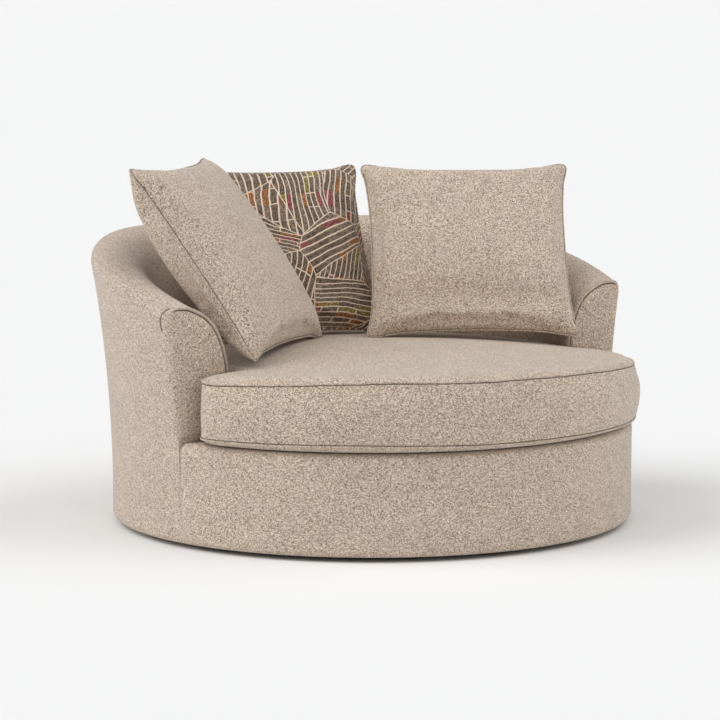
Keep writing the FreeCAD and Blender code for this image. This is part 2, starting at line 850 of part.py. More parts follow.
def make_platform():
    rear = seat_wall - ease
    front = drum - size("lip_depth") - ease
    line = size("facing_front") + ease
    pad_wire = seat_outline(rear, front, line, lambda p: Vector(p[0], p[1], platform_low))
    shaped("deck_pad", Part.Face(pad_wire).extrude(Vector(0, 0, deck_low - ease - platform_low)))
    cloth_wire = seat_outline(rear, front, line, lambda p: Vector(p[0], p[1], deck_low))
    shaped("deck_cover", Part.Face(cloth_wire).extrude(Vector(0, 0, cover)))


# seat cushion

def arc_chords(centre, radius, begin, end, count):
    return [polar(centre, radius, begin + (end - begin) * i / count) for i in range(count + 1)]


def cushion_outline(depth, bulge):
    """T-shaped plan with rounded front ears, drawn in by a depth."""
    front = drum + size("cushion_overhang") + bulge - depth
    rear = seat_wall - size("cushion_gap") - depth
    line = size("facing_front") + size("cushion_gap") + depth
    corner = size("cushion_corner") + bulge - depth
    neck = size("cushion_neck") + depth
    ear_y = -line - corner
    ear_x = math.sqrt((front - corner) ** 2 - ear_y ** 2)
    neck_y = -line + neck
    neck_x = math.sqrt((rear + neck) ** 2 - neck_y ** 2)
    front_end = math.degrees(math.atan2(ear_y, ear_x))
    neck_end = math.degrees(math.atan2(neck_y, neck_x))
    half = arc_chords((0, 0), front, -90, front_end, 7)[:-1]
    half += arc_chords((ear_x, ear_y), corner, front_end, 90, 5)
    half += arc_chords((neck_x, neck_y), neck, 270, 180 + neck_end, 2)[:-1]
    half += arc_chords((0, 0), rear, neck_end, 90, 13)
    return half + [(-x, y) for x, y in backward(half[1:-1])]


def cushion_top(x, y):
    """Height of the cushion's crowned top."""
    side, deep = size("crown_radius_side"), size("crown_radius_deep")
    back = y + size("crown_centre")
    return deck_top + ease + size("cushion_thick") - x * x / (2 * side) - back * back / (2 * deep)


def cushion_belly(x, y):
    """Height of its slightly bowed underside."""
    back = y + size("crown_centre")
    return deck_top + ease + back * back / (2 * size("belly_radius"))


def cushion_ring(outline, share, height):
    """The outline shrunk towards the crown's centre, each corner at its own height."""
    middle = -size("crown_centre")
    spots = [(share * x, middle + share * (y - middle)) for x, y in outline]
    corners = [Vector(x, y, height(x, y)) for x, y in spots]
    return Part.makePolygon(corners + corners[:1])


def cushion_form(depth):
    seam, swell = cushion_outline(depth, 0.0), cushion_outline(depth, size("cushion_bulge"))

    def top(x, y):
        return cushion_top(x, y) - depth

    def belly(x, y):
        return cushion_belly(x, y) + depth

    def rest(x, y):
        return belly(0, -size("crown_centre"))

    flat = 1 - (size("belly_edge") + 2 * depth) / (drum + size("cushion_overhang"))
    rings = [(seam, 0.5, rest), (seam, flat, rest), (seam, 1.0, belly),
             (swell, 1.0, lambda x, y: (top(x, y) + belly(x, y)) / 2), (seam, 1.0, top),
             (seam, 0.72, top), (seam, 0.4, top),
             (seam, 0.14, lambda x, y: top(0, 60 - size("crown_centre")))]
    return straight_loft([cushion_ring(*ring) for ring in rings])


def make_cushion():
    outer = cushion_form(0.0)
    cavity = cushion_form(cover)
    shaped("seat_cushion_cover", outer.cut(cavity))
    shaped("seat_cushion_core", cushion_form(cover + size("core_gap")))


# loose pillows

# share of the full outline, and share of half the thickness reached there
PILLOW_LEVELS = ((0.3, 1.0), (0.56, 0.91), (0.77, 0.69), (0.92, 0.37), (1.0, 0.0))


def pillow_wire(width, height, level, share):
    """A square outline with its sides drawn in and its corners left standing."""
    x, y, corner, draw = (share * value for value in (
        width / 2, height / 2, size("pillow_corner"), size("pillow_draw")))
    k = corner * (1 - math.sqrt(0.5))
    half = [(x, -y + corner), (x - draw, 0), (x, y - corner), (x - k, y - k),
            (x - corner, y), (0, y - draw), (-x + corner, y), (-x + k, y - k)]
    whole = half + [(-px, -py) for px, py in half]
    return outline_wire(chain(whole), lambda p: Vector(p[0], p[1], level))


def pillow_shape(width, height, thick):
    rows = [(-rise * thick / 2, share) for share, rise in PILLOW_LEVELS]
    rows += [(-level, share) for level, share in backward(rows[:-1])]
    return straight_loft([pillow_wire(width, height, level, share) for level, share in rows])


def stand_pillow(shape, side, back, turn, lean):
    """Stands a pillow on its lower edge, turned and leaned back, just on the cushion."""
    shape.translate(Vector(0, shape.BoundBox.YLength / 2, 0))
    shape.rotate(Vector(0, 0, 0), Vector(1, 0, 0), 90 - lean)
    shape.rotate(Vector(0, 0, 0), Vector(0, 0, 1), turn)
    shape.translate(Vector(side, back, 0))
    touches = [cushion_top(point.x, point.y) - point.z
               for edge in shape.Edges for point in edge.discretize(6)]
    shape.translate(Vector(0, 0, max(touches) + ease))
    for _ in range(3):
        gap = shape.distToShape(nodes["seat_cushion_cover"].Shape)[0]
        shape.translate(Vector(0, 0, ease - gap))
    return shape


def make_pillows():
    for label, hand in (("left_pillow", -1), ("patterned_pillow", -1), ("right_pillow", 1)):
        width, height, thick, turn, lean = (
            size(label + "_" + word) for word in ("width", "height", "thick", "turn", "lean"))
        side = hand * (seat_wall - size(label + "_from_side"))
        back = seat_wall - size(label + "_from_back")
        form = pillow_shape(width, height, thick)
        shaped(label, stand_pillow(form, side, back, turn, lean))


def check_and_write():
    doc.recompute()
    for piece in doc.Objects:
        if "Invalid" in piece.State or "Error" in piece.State:
            raise RuntimeError("%s did not build: %s" % (piece.Label, piece.State))
    for label, piece in nodes.items():
        if piece.Shape.isNull() or not piece.Shape.isValid():
            raise RuntimeError("%s has no sound shape" % label)
    os.makedirs("parts", exist_ok=True)
    for label, piece in nodes.items():
        piece.Shape.exportStep(os.path.join("parts", label + ".step"))
        print("%-22s solids %2d  volume %12.0f" % (label, len(piece.Shape.Solids), piece.Shape.Volume))


make_foot()
make_bearing()
make_rings()
make_tub()
make_frame()
make_arm_fronts()
make_front()
make_webbing()
make_platform()
make_cushion()
make_pillows()
check_and_write()
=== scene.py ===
# Swivel accent chair: upholstery, timber, bearing and soft studio light.
# Lengths are in metres. +Z is up and -Y is the front of the seat.
import math
from functools import lru_cache

import bmesh
import bpy
from mathutils import Matrix, Vector, noise
from mathutils.bvhtree import BVHTree
from mathutils.kdtree import KDTree


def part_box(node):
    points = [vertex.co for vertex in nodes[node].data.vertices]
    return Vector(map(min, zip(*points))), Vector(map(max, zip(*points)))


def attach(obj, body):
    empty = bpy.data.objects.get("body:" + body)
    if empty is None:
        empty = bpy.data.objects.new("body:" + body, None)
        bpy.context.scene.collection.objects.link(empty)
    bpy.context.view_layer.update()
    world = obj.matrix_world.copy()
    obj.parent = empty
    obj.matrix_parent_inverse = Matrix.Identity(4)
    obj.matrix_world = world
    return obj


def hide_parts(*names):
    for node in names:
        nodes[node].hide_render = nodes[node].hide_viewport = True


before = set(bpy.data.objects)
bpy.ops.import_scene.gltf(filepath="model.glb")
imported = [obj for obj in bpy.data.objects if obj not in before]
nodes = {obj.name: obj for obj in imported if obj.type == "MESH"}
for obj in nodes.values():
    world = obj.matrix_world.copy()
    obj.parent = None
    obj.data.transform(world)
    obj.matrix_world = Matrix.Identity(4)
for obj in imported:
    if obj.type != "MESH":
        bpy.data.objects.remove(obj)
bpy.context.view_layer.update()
chair = "chair_body"

# sizes that the upholstery shares with the frame
DRUM = 0.700
HEM_HEIGHT, HEM_ROUND, HEM_TUCK = 0.012, 0.018, 0.030
FLARE_START, FLARE = 0.100, 3.450
ARM_FRONT = 0.160
RIM_FRONT, RIM_BACK, RISE_START, RISE_SPAN = 0.618, 0.766, 77.0, 72.0
ROLL_OUTER, ROLL_TOP, ROLL_INNER = 0.030, 0.095, 0.126
SEAT_WALL = 0.554
DECK, PLATFORM = 0.272, 0.2415
LIP, LIP_DEPTH = 0.020, 0.060
CLOTH = 0.003
# degrees at which one bend of the rolled arm runs into the next
OUTER_TURN, TOP_TURN, INNER_TURN = 73.0, 112.0, 155.0
# turn of the arm's front edge, in degrees round from the middle of the seat's front
ARM_TURN = 77.2


# shapes of the tub

def polar(centre, radius, degrees):
    angle = math.radians(degrees)
    return (centre[0] + radius * math.cos(angle), centre[1] + radius * math.sin(angle))


def arc_points(centre, radius, begin, end, count):
    return [polar(centre, radius, begin + (end - begin) * i / count) for i in range(count + 1)]


def spot(radius, height, turn):
    angle = math.radians(turn)
    return Vector((radius * math.sin(angle), -radius * math.cos(angle), height))


def before_axis(side, radius, y, height):
    """A point on one side, at a distance from the axis and as far as y in front of it."""
    return Vector((side * math.sqrt(radius * radius - y * y), -y, height))


def sided(side, point):
    return Vector((side * point.x, point.y, point.z))


def rim_height(turn):
    side = turn if turn <= 180 else 360 - turn
    along = max(0.0, min((side - RISE_START) / RISE_SPAN, 1.0))
    return RIM_FRONT + (RIM_BACK - RIM_FRONT) * math.sin(math.radians(90 * along))


class Rim:
    """The arm's section at one turn: flared wall, rolled top and lean down to the seat."""

    def __init__(self, turn):
        top = rim_height(turn)
        rise = (ROLL_OUTER - ROLL_TOP) * math.sin(math.radians(OUTER_TURN)) + ROLL_TOP
        shoulder = top - rise
        for _ in range(6):
            lean = math.asin((shoulder - FLARE_START) / FLARE)
            shoulder = top - rise - ROLL_OUTER * math.sin(lean)
        self.shoulder = shoulder
        first = -math.degrees(lean)
        wall = DRUM + FLARE - math.sqrt(FLARE ** 2 - (shoulder - FLARE_START) ** 2)
        outer = polar((wall, shoulder), -ROLL_OUTER, first)
        crown = polar(outer, ROLL_OUTER - ROLL_TOP, OUTER_TURN)
        inner = polar(crown, ROLL_TOP - ROLL_INNER, TOP_TURN)
        edge = polar(inner, ROLL_INNER, INNER_TURN)
        radius = (edge[0] - SEAT_WALL) / (1 + math.cos(math.radians(INNER_TURN)))
        self.bends = {
            "outer": (outer, ROLL_OUTER, first, OUTER_TURN),
            "crown": (crown, ROLL_TOP, OUTER_TURN, TOP_TURN),
            "inner": (inner, ROLL_INNER, TOP_TURN, INNER_TURN),
            "lean": (polar(edge, -radius, INNER_TURN), radius, INNER_TURN, 180.0),
        }

    def wall(self, height, depth):
        rise = max(height - FLARE_START, 0.0)
        return DRUM + FLARE - math.sqrt((FLARE + depth) ** 2 - rise ** 2)

    def at(self, name, depth, share):
        centre, radius, first, last = self.bends[name]
        return polar(centre, radius - depth, first + (last - first) * share)


def hem_section(depth):
    corner = (DRUM - HEM_ROUND, HEM_HEIGHT + HEM_ROUND)
    tuck = [(DRUM - HEM_ROUND - HEM_TUCK * (1 - s), HEM_HEIGHT + depth) for s in (0.0, 0.5)]
    return tuck + arc_points(corner, HEM_ROUND - depth, -90, 0, 8)


@lru_cache(None)
def tub_section(turn, depth):
    """Hem, wall, roll and seat side, always with as many points."""
    rim = Rim(turn)
    low = HEM_HEIGHT + HEM_ROUND
    wall = [(DRUM - depth, low + (FLARE_START - low) * i / 4) for i in range(1, 4)]
    for i in range(15):
        z = FLARE_START + (rim.shoulder - FLARE_START) * i / 14
        wall.append((rim.wall(z, depth), z))
    roll = [rim.at(name, depth, i / count)
            for name, count in (("outer", 9), ("crown", 10), ("inner", 8), ("lean", 12))
            for i in range(1, count + 1)]
    foot, level = roll[-1]
    down = [(foot, level + (PLATFORM - level) * i / 3) for i in range(1, 4)]
    return hem_section(depth) + wall + roll + down


def wobble(point, size=0.0012):
    """The small unevenness of fabric pulled over wadding."""
    return size * noise.noise(point * 6.0) + 0.5 * size * noise.noise(point * 6.0 * 2.7)


# mesh makers

def finish_mesh(name, verts, faces, uvs=None, smooth=True, edges=()):
    mesh = bpy.data.meshes.new(name)
    mesh.from_pydata([tuple(v) for v in verts], edges, faces)
    mesh.update()
    if uvs is not None:
        layer = mesh.uv_layers.new(name="cloth")
        for loop in mesh.loops:
            layer.data[loop.index].uv = uvs[loop.vertex_index]
    mesh.polygons.foreach_set("use_smooth", [smooth] * len(mesh.polygons))
    obj = bpy.data.objects.new(name, mesh)
    bpy.context.collection.objects.link(obj)
    return obj


def rework(obj, change):
    """Runs a change on a mesh through bmesh."""
    bm = bmesh.new()
    bm.from_mesh(obj.data)
    change(bm)
    bm.to_mesh(obj.data)
    bm.free()


def outward(obj):
    rework(obj, lambda bm: bmesh.ops.recalc_face_normals(bm, faces=bm.faces))
    obj.data.update()
    return obj


def grid_faces(rows, cols, first=0):
    """Quads of an open grid of points."""
    return [(a, a + 1, a + cols + 1, a + cols)
            for j in range(rows - 1) for a in range(first + j * cols, first + (j + 1) * cols - 1)]


def ring_faces(rings, n, first=0, wrap=False):
    """Quads between closed rings of n points, and back to the first ring if wrap is set."""
    faces = []
    for j in range(rings if wrap else rings - 1):
        a, b = first + j * n, first + (j + 1) % rings * n
        faces += [(a + i, a + (i + 1) % n, b + (i + 1) % n, b + i) for i in range(n)]
    return faces


def sharpen(obj, pairs):
    """Marks the edges between these pairs of points as sharp."""
    for edge in obj.data.edges:
        if tuple(sorted(edge.vertices)) in pairs:
            edge.use_edge_sharp = True


def cloth_shell(name, front, back, uv):
    """A closed skin between a front and a back grid of points, joined round its edge."""
    rows, cols = len(front), len(front[0])
    n = rows * cols
    faces = grid_faces(rows, cols) + [quad[::-1] for quad in grid_faces(rows, cols, n)]
    ring = list(range(cols)) + [j * cols + cols - 1 for j in range(1, rows)]
    ring += [(rows - 1) * cols + i for i in range(cols - 2, -1, -1)]
    ring += [j * cols for j in range(rows - 2, 0, -1)]
    edges = list(zip(ring, ring[1:] + ring[:1]))
    faces += [(b, a, a + n, b + n) for a, b in edges]
    verts = [p for row in front + back for p in row]
    shell = outward(finish_mesh(name, verts, faces, [c for row in uv for c in row] * 2))
    sharpen(shell, {tuple(sorted((a + k, b + k))) for a, b in edges for k in (0, n)})
    return shell


def run_lengths(points):
    total, out = 0.0, [0.0]
    for a, b in zip(points, points[1:]):
        total += math.dist(a, b)
        out.append(total)
    return out


def use(obj, material, body, slot, *replaced):
    obj.data.materials.clear()
    obj.data.materials.append(material)
    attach(obj, body)
    if replaced:
        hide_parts(*replaced)
    return obj


# materials

def feed(socket, value):
    """Sets an input to a number or a colour, or links it to another node's output."""
    if isinstance(value, bpy.types.NodeSocket):
        socket.id_data.links.new(value, socket)
    elif isinstance(value, tuple) and len(value) < len(socket.default_value):
        socket.default_value = (*value, 1)
    else:
        socket.default_value = value


def feed_all(made, inputs):
    for key, value in inputs.items():
        feed(made.inputs[key.replace("_", " ")], value)
    return made


def node(tree, kind, **inputs):
    return feed_all(tree.nodes.new(kind), inputs)


def new_material(name, colour, roughness, **inputs):
    mat = bpy.data.materials.new(name)
    mat.use_nodes = True
    shader = mat.node_tree.nodes["Principled BSDF"]
    feed_all(shader, dict(inputs, Base_Color=colour, Roughness=roughness))
    return mat, mat.node_tree, shader


def ramp(tree, factor, stops, mode="LINEAR"):
    """Colours along a factor. A plain number stands for a grey."""
    made = node(tree, "ShaderNodeValToRGB", Fac=factor)
    made.color_ramp.interpolation = mode
    while len(made.color_ramp.elements) < len(stops):
        made.color_ramp.elements.new(0.5)
    for element, (at, colour) in zip(made.color_ramp.elements, stops):
        element.position = at
        element.color = (*colour, 1) if isinstance(colour, tuple) else (colour, colour, colour, 1)
    return made.outputs["Color"]


def maths(tree, operation, a, b=None, clamp=False):
    made = tree.nodes.new("ShaderNodeMath")
    made.operation, made.use_clamp = operation, clamp
    for socket, value in zip(made.inputs, (a, b)):
        if value is not None:
            feed(socket, value)
    return made.outputs[0]


def mix(tree, mode, factor, a, b):
    made = tree.nodes.new("ShaderNodeMix")
    made.data_type, made.blend_type = "RGBA", mode
    for index, value in ((0, factor), (6, a), (7, b)):
        feed(made.inputs[index], value)
    return made.outputs[2]


def clouds(tree, at, scale, detail, **more):
    return node(tree, "ShaderNodeTexNoise", Vector=at, Scale=scale, Detail=detail, **more)


def cells(tree, at, scale, randomness, feature="F1"):
    made = node(tree, "ShaderNodeTexVoronoi", Scale=scale, Randomness=randomness)
    made.voronoi_dimensions, made.feature = "2D", feature
    feed(made.inputs["Vector"], at)
    return made


def jitter(tree, at, scale, detail, amount):
    """Moves a flat place a little, by a noise of its own."""
    made = tree.nodes.new("ShaderNodeVectorMath")
    made.operation = "MULTIPLY_ADD"
    by = clouds(tree, at[0], scale, detail).outputs["Color"]
    for socket, value in zip(made.inputs, (by, (amount, amount, 0.0), at[1])):
        feed(socket, value)
    return made.outputs[0]


def stretched(tree, at, scale):
    return node(tree, "ShaderNodeMapping", Vector=at, Scale=scale).outputs["Vector"]


def cloth_plane(tree, scale):
    """The piece's own flat map in metres, scaled to threads."""
    uv = tree.nodes.new("ShaderNodeUVMap")
    uv.uv_map = "cloth"
    return stretched(tree, uv.outputs["UV"], scale)


def object_space(tree):
    return tree.nodes.new("ShaderNodeTexCoord").outputs["Object"]


def dress(shader, colour, height, strength, distance):
    """Gives a shader its colour and its raised surface."""
    bump = node(shader.id_data, "ShaderNodeBump", Strength=strength, Distance=distance, Height=height)
    feed_all(shader, {"Base_Color": colour, "Normal": bump.outputs["Normal"]})


def tweed():
    """Heathered oatmeal tweed: fine knobbly yarns in cream, beige and brown."""
    mat, tree, shader = new_material("oatmeal_tweed", (0.5, 0.42, 0.34), 0.92, Sheen_Weight=0.35,
                                     Sheen_Roughness=0.45, Specular_IOR_Level=0.2)
    threads = cloth_plane(tree, (1, 1, 1))
    bent = jitter(tree, (threads, threads), 140.0, 2.0, 0.0009)
    knots = cells(tree, stretched(tree, bent, (480, 540, 1)), 1.0, 0.8)
    split = node(tree, "ShaderNodeSeparateColor", Color=knots.outputs["Color"])
    fibre = clouds(tree, threads, 1400.0, 2.0)
    broad = clouds(tree, threads, 11.0, 3.0)
    colour = ramp(tree, split.outputs["Red"], [
        (0.0, (0.165, 0.108, 0.074)), (0.18, (0.385, 0.290, 0.220)), (0.42, (0.585, 0.474, 0.378)),
        (0.75, (0.745, 0.628, 0.517)), (1.0, (0.93, 0.84, 0.73))])
    away = knots.outputs["Distance"]
    # The first factor darkens each knot towards its edge, where its bump runs low: painted shade in the
    # gaps between yarns. The other two vary the tone at random.
    for factor, stops in (
            (away, [(0.0, 1.0), (0.45, (0.95, 0.94, 0.93)), (0.9, (0.45, 0.41, 0.37))]),
            (fibre.outputs["Fac"], [(0.3, 0.84), (0.7, (1.14, 1.13, 1.12))]),
            (broad.outputs["Fac"], [(0.35, (0.97, 0.97, 0.975)), (0.65, (1.03, 1.03, 1.025))])):
        colour = mix(tree, "MULTIPLY", 1.0, colour, ramp(tree, factor, stops))
    round_knot = maths(tree, "SUBTRACT", 1.0, away, True)
    fuzz = maths(tree, "MULTIPLY", fibre.outputs["Fac"], 0.3)
    dress(shader, colour, maths(tree, "ADD", round_knot, fuzz), 0.55, 0.0009)
    return mat


def hatch_cloth():
    """Dark taupe cloth with thin cream lines that run at another angle in every field."""
    mat, tree, shader = new_material("hatched_cloth", (0.16, 0.11, 0.09), 0.9, Sheen_Weight=0.12,
                                     Specular_IOR_Level=0.2)

    def calc(operation, a, b=None):
        return maths(tree, operation, a, b)

    flat = cloth_plane(tree, (1, 1, 1))
    bent = jitter(tree, (flat, flat), 4.2, 1.0, 0.10)
    drawn = jitter(tree, (flat, bent), 60.0, 1.0, 0.0035)
    fields = cells(tree, drawn, 7.4, 1.0)
    edges = cells(tree, drawn, 7.4, 1.0, "DISTANCE_TO_EDGE")
    pick = node(tree, "ShaderNodeSeparateColor", Color=fields.outputs["Color"])
    angle = calc("MULTIPLY", pick.outputs["Red"], math.pi * 2)
    place = node(tree, "ShaderNodeSeparateXYZ", Vector=drawn)
    cos, sin = calc("COSINE", angle), calc("SINE", angle)
    x, y = place.outputs["X"], place.outputs["Y"]
    along = calc("ADD", calc("MULTIPLY", x, cos), calc("MULTIPLY", y, sin))
    across = calc("SUBTRACT", calc("MULTIPLY", y, cos), calc("MULTIPLY", x, sin))
    lines_per_metre = calc("ADD", calc("MULTIPLY", pick.outputs["Green"], 28.0), 51.0)
    step = calc("MULTIPLY", along, lines_per_metre)
    band = calc("FLOOR", calc("ADD", step, 0.5))
    rung = calc("MULTIPLY", across, 19.0)

    def draw(third, **row):
        """A chance value for each band, or for each block of it."""
        third = calc("MULTIPLY", pick.outputs["Blue"], third)
        key = node(tree, "ShaderNodeCombineXYZ", X=band, Z=third, **row)
        chance = node(tree, "ShaderNodeTexWhiteNoise", Vector=key.outputs[0])
        chance.noise_dimensions = "3D"
        return chance.outputs["Value"]

    def near_line(value, half):
        off = calc("ABSOLUTE", calc("SUBTRACT", calc("FRACT", value), 0.5))
        return calc("LESS_THAN", off, half)

    rungs = calc("MULTIPLY", near_line(calc("ADD", rung, 0.5), 0.030),
                 calc("LESS_THAN", draw(53.0), 0.30))
    border = calc("LESS_THAN", edges.outputs["Distance"], 0.0095)
    line = calc("MAXIMUM", calc("MAXIMUM", near_line(step, 0.108), rungs), border)
    ground = ramp(tree, draw(97.0, Y=calc("FLOOR", rung)), [
        (0.0, (0.150, 0.110, 0.083)), (0.46, (0.200, 0.152, 0.118)), (0.80, (0.285, 0.128, 0.052)),
        (0.905, (0.265, 0.086, 0.086)), (0.95, (0.238, 0.196, 0.066))], "CONSTANT")
    grain = cells(tree, cloth_plane(tree, (380, 420, 1)), 1.0, 0.55)
    mesh_look = node(tree, "ShaderNodeSeparateColor", Color=grain.outputs["Color"])
    # Painted light and shade on the grain: lighter in the raised middle of each cell, darker at its low
    # edge.
    yarn_light_and_gap_shade = ramp(tree, grain.outputs["Distance"], [(0.0, (1.35, 1.33, 1.3)), (0.7, (0.62, 0.6, 0.58))])
    fleck = ramp(tree, mesh_look.outputs["Red"], [
        (0.0, (0.38, 0.36, 0.35)), (0.55, 0.95), (1.0, (2.3, 2.25, 2.15))])
    colour = mix(tree, "MIX", line, mix(tree, "MULTIPLY", 0.9, ground, fleck), (0.80, 0.665, 0.53))
    lift = calc("ADD", calc("SUBTRACT", 1.0, grain.outputs["Distance"]), calc("MULTIPLY", line, 0.6))
    dress(shader, mix(tree, "MULTIPLY", 0.7, colour, yarn_light_and_gap_shade), lift, 0.5, 0.0008)
    return mat


def grained_wood(name, pale, dark, stretch, rings):
    mat, tree, shader = new_material(name, pale, 0.6)
    at = stretched(tree, object_space(tree), stretch)
    figure = clouds(tree, at, rings, 4.0, Distortion=0.6).outputs["Fac"]
    lines = clouds(tree, at, rings * 7, 6.0).outputs["Fac"]
    base = ramp(tree, figure, [(0.3, dark), (0.55, pale), (0.75, dark)])
    pores = ramp(tree, lines, [(0.35, (0.82, 0.8, 0.77)), (0.6, 1.05)])
    dress(shader, mix(tree, "MULTIPLY", 0.8, base, pores), lines, 0.25, 0.0004)
    return mat


def speckled(name, colour, other, scale, roughness, bump, metallic=0.0):
    mat, tree, shader = new_material(name, colour, roughness, Metallic=metallic)
    spots = clouds(tree, object_space(tree), scale, 4.0).outputs["Fac"]
    rough = node(tree, "ShaderNodeMapRange", Value=spots, To_Min=max(roughness - 0.08, 0.05),
                 To_Max=min(roughness + 0.08, 1.0))
    feed(shader.inputs["Roughness"], rough.outputs[0])
    dress(shader, ramp(tree, spots, [(0.35, colour), (0.65, other)]), spots, 0.3, bump)
    return mat


def woven(name, colour, other, pitch, bump):
    """Plain weave on Object coordinates: alternate over and under threads."""
    mat, tree, shader = new_material(name, colour, 0.88)
    at = object_space(tree)
    checks = node(tree, "ShaderNodeTexChecker", Scale=1.0 / pitch, Vector=at)
    halves = [maths(tree, "MULTIPLY", source.outputs["Fac"], 0.5)
              for source in (checks, clouds(tree, at, 700.0, 3.0))]
    both = maths(tree, "ADD", *halves)
    dress(shader, ramp(tree, both, [(0.2, colour), (0.8, other)]), both, 0.6, bump)
    return mat


oatmeal = tweed()
hatched = hatch_cloth()
plywood = grained_wood("birch_plywood", (0.52, 0.37, 0.21), (0.44, 0.30, 0.16), (1, 6, 18), 3.0)
pine = grained_wood("planed_pine", (0.60, 0.43, 0.23), (0.47, 0.30, 0.14), (2, 14, 14), 2.2)
fibreboard = speckled("bent_fibreboard", (0.235, 0.14, 0.078), (0.30, 0.19, 0.11), 160.0, 0.8, 0.0004)
steel = speckled("black_enamel", (0.012, 0.012, 0.014), (0.02, 0.02, 0.022), 60.0, 0.32, 0.0002)
bright = speckled("ball_steel", (0.58, 0.58, 0.60), (0.66, 0.66, 0.68), 300.0, 0.16, 0.00002, 1.0)
zinc = speckled("zinc_screws", (0.48, 0.47, 0.44), (0.6, 0.58, 0.52), 400.0, 0.35, 0.00005, 1.0)
plastic = speckled("black_plastic", (0.014, 0.014, 0.014), (0.022, 0.022, 0.022), 500.0, 0.48, 0.0001)
black_cloth = speckled("black_nonwoven", (0.011, 0.011, 0.012), (0.028, 0.028, 0.03), 420.0, 0.95, 0.0005)
# Dark seam thread is painted shade: its tubes lie in the seam grooves and beside welts and edges,
# standing in for their shadow lines.
thread = speckled("seam_shade_thread", (0.125, 0.088, 0.064), (0.18, 0.130, 0.098), 900.0, 0.9, 0.0002)
# Stitching thread for the real stitches; the same colour also draws the dark seam lines of the right and
# patterned pillows, which are painted shade.
stitch_and_seam_shade = speckled("stitching_and_seam_shade_thread", (0.20, 0.150, 0.112), (0.29, 0.225, 0.17), 900.0, 0.8, 0.0002)
deck_weave = woven("platform_twill", (0.03, 0.028, 0.027), (0.062, 0.058, 0.055), 0.003, 0.0006)
strap_weave = woven("elastic_webbing", (0.02, 0.018, 0.017), (0.07, 0.063, 0.058), 0.0032, 0.0008)
zip_cloth = woven("zip_tape", (0.42, 0.34, 0.265), (0.53, 0.44, 0.35), 0.0011, 0.0003)

for finish, labels in (
        (plywood, "foot_disc bottom_ring front_rail seat_ring left_arm_board right_arm_board"),
        (pine, "swivel_bearers top_rail frame_posts front_posts"),
        (fibreboard, "outer_panel inner_panel"),
        (steel, "lower_bearing_plate upper_bearing_plate"), (plastic, "floor_glides ball_cage"),
        (bright, "bearing_balls"), (strap_weave, "webbing_lengthwise webbing_crosswise")):
    for label in labels.split():
        nodes[label].data.materials.clear()
        nodes[label].data.materials.append(finish)


# tub cover, one skin from the hem over the rim to the seat

def ease(share):
    share = max(0.0, min(share, 1.0))
    return share * share * (3 - 2 * share)


def front_edge(part, share, height):
    """Roll of the cover over the arm's front edge and depth of the seam there, 0 where it runs on."""
    if part == "wall":
        return 0.0004 + 0.0176 * ease((height - 0.262) / 0.05), 0.0
    if part == "outer":
        return 0.018 - 0.015 * ease(share), ease((share - 0.55) / 0.4)
    if part == "crown":
        return 0.003 + 0.0065 * share, 1.0
    return 0.0095, 1.0


def front_turn(radius, y):
    return math.degrees(math.acos(max(-1.0, min(y / radius, 1.0))))


def tub_cover():
    """The cover as rows across it, from one arm's seam round the back to the other's."""
    steps, uv_column = 132, 20
    full, front_section = tub_section(180, 0.0), tub_section(ARM_TURN, 0.0)
    parts = [("wall", 0)] * 29 + [("outer", i / 9) for i in range(1, 10)]
    parts += [("crown", i / 10) for i in range(1, 11)] + [("inner", 0)] * 23
    edges = [front_edge(part, share, p[1]) for (part, share), p in zip(parts, front_section)]

    def row_at(share, depth):
        row = []
        for i, (front_radius, _) in enumerate(front_section):
            first = front_turn(front_radius, ARM_FRONT - edges[i][0])
            turn = first + (360 - 2 * first) * share
            radius, height = tub_section(round(turn, 2), depth)[i]
            if depth == 0.0 and 12 < i < len(full) - 6:
                radius += wobble(spot(radius, height, turn)) * ease(min(share, 1 - share) / 0.03)
            row.append(spot(radius, height, turn))
        return row

    def edge_row(side, along, thick):
        """A row that rolls the cover over the front edge and, beyond 1, into the seam."""
        row = []
        angle = math.radians(90 * min(along, 1.0))
        cos, sin = math.cos(angle), math.sin(angle)
        for i, (roll, seam) in enumerate(edges):
            depth, y = roll * (1 - cos), ARM_FRONT - roll + roll * sin
            if along > 1.0:
                depth = roll + (0.0009 * seam + 0.0110 * (1 - seam)) * (along - 1)
                y = ARM_FRONT - (0.0048 * seam + 0.0006 * (1 - seam)) * (along - 1)
            radius, height = tub_section(ARM_TURN, round(depth + thick * cos, 5))[i]
            row.append(sided(side, spot(radius, height, front_turn(radius, y - thick * sin))))
        return row

    def skin(depth):
        rolls = (2.0, 1.25, 1.0, 0.8, 0.6, 0.4, 0.2)
        return ([edge_row(1, roll, depth) for roll in rolls]
                + [row_at(j / steps, depth) for j in range(steps + 1)]
                + [edge_row(-1, roll, depth) for roll in reversed(rolls)])

    front = skin(0.0)
    around, lengths = run_lengths([row[uv_column] for row in front]), run_lengths(full)
    tub = cloth_shell("tub_cover", front, skin(CLOTH), [[(u, v) for v in lengths] for u in around])
    return use(tub, oatmeal, chair, "oatmeal_fabric", "outside_cover", "inside_cover", "tub_padding")


# arm front panels: a flat padded facing inside the rolled edge

# For each ring from the seam inwards: depth and distance to the front where there is a seam, and the
# same two where the cover runs on without one.
FACING = ((0.0039, 0.1548, -0.0002, 0.1602), (0.0035, 0.1572, 0.0003, 0.1604),
          (0.0042, 0.1588, 0.0015, 0.1607), (0.0060, 0.1601, 0.0035, 0.1610),
          (0.0095, 0.1610, 0.0065, 0.1614), (0.0155, 0.1616, 0.0095, 0.1616))
GROOVE_Y, FACING_REAR_Y = 0.1565, 0.1538


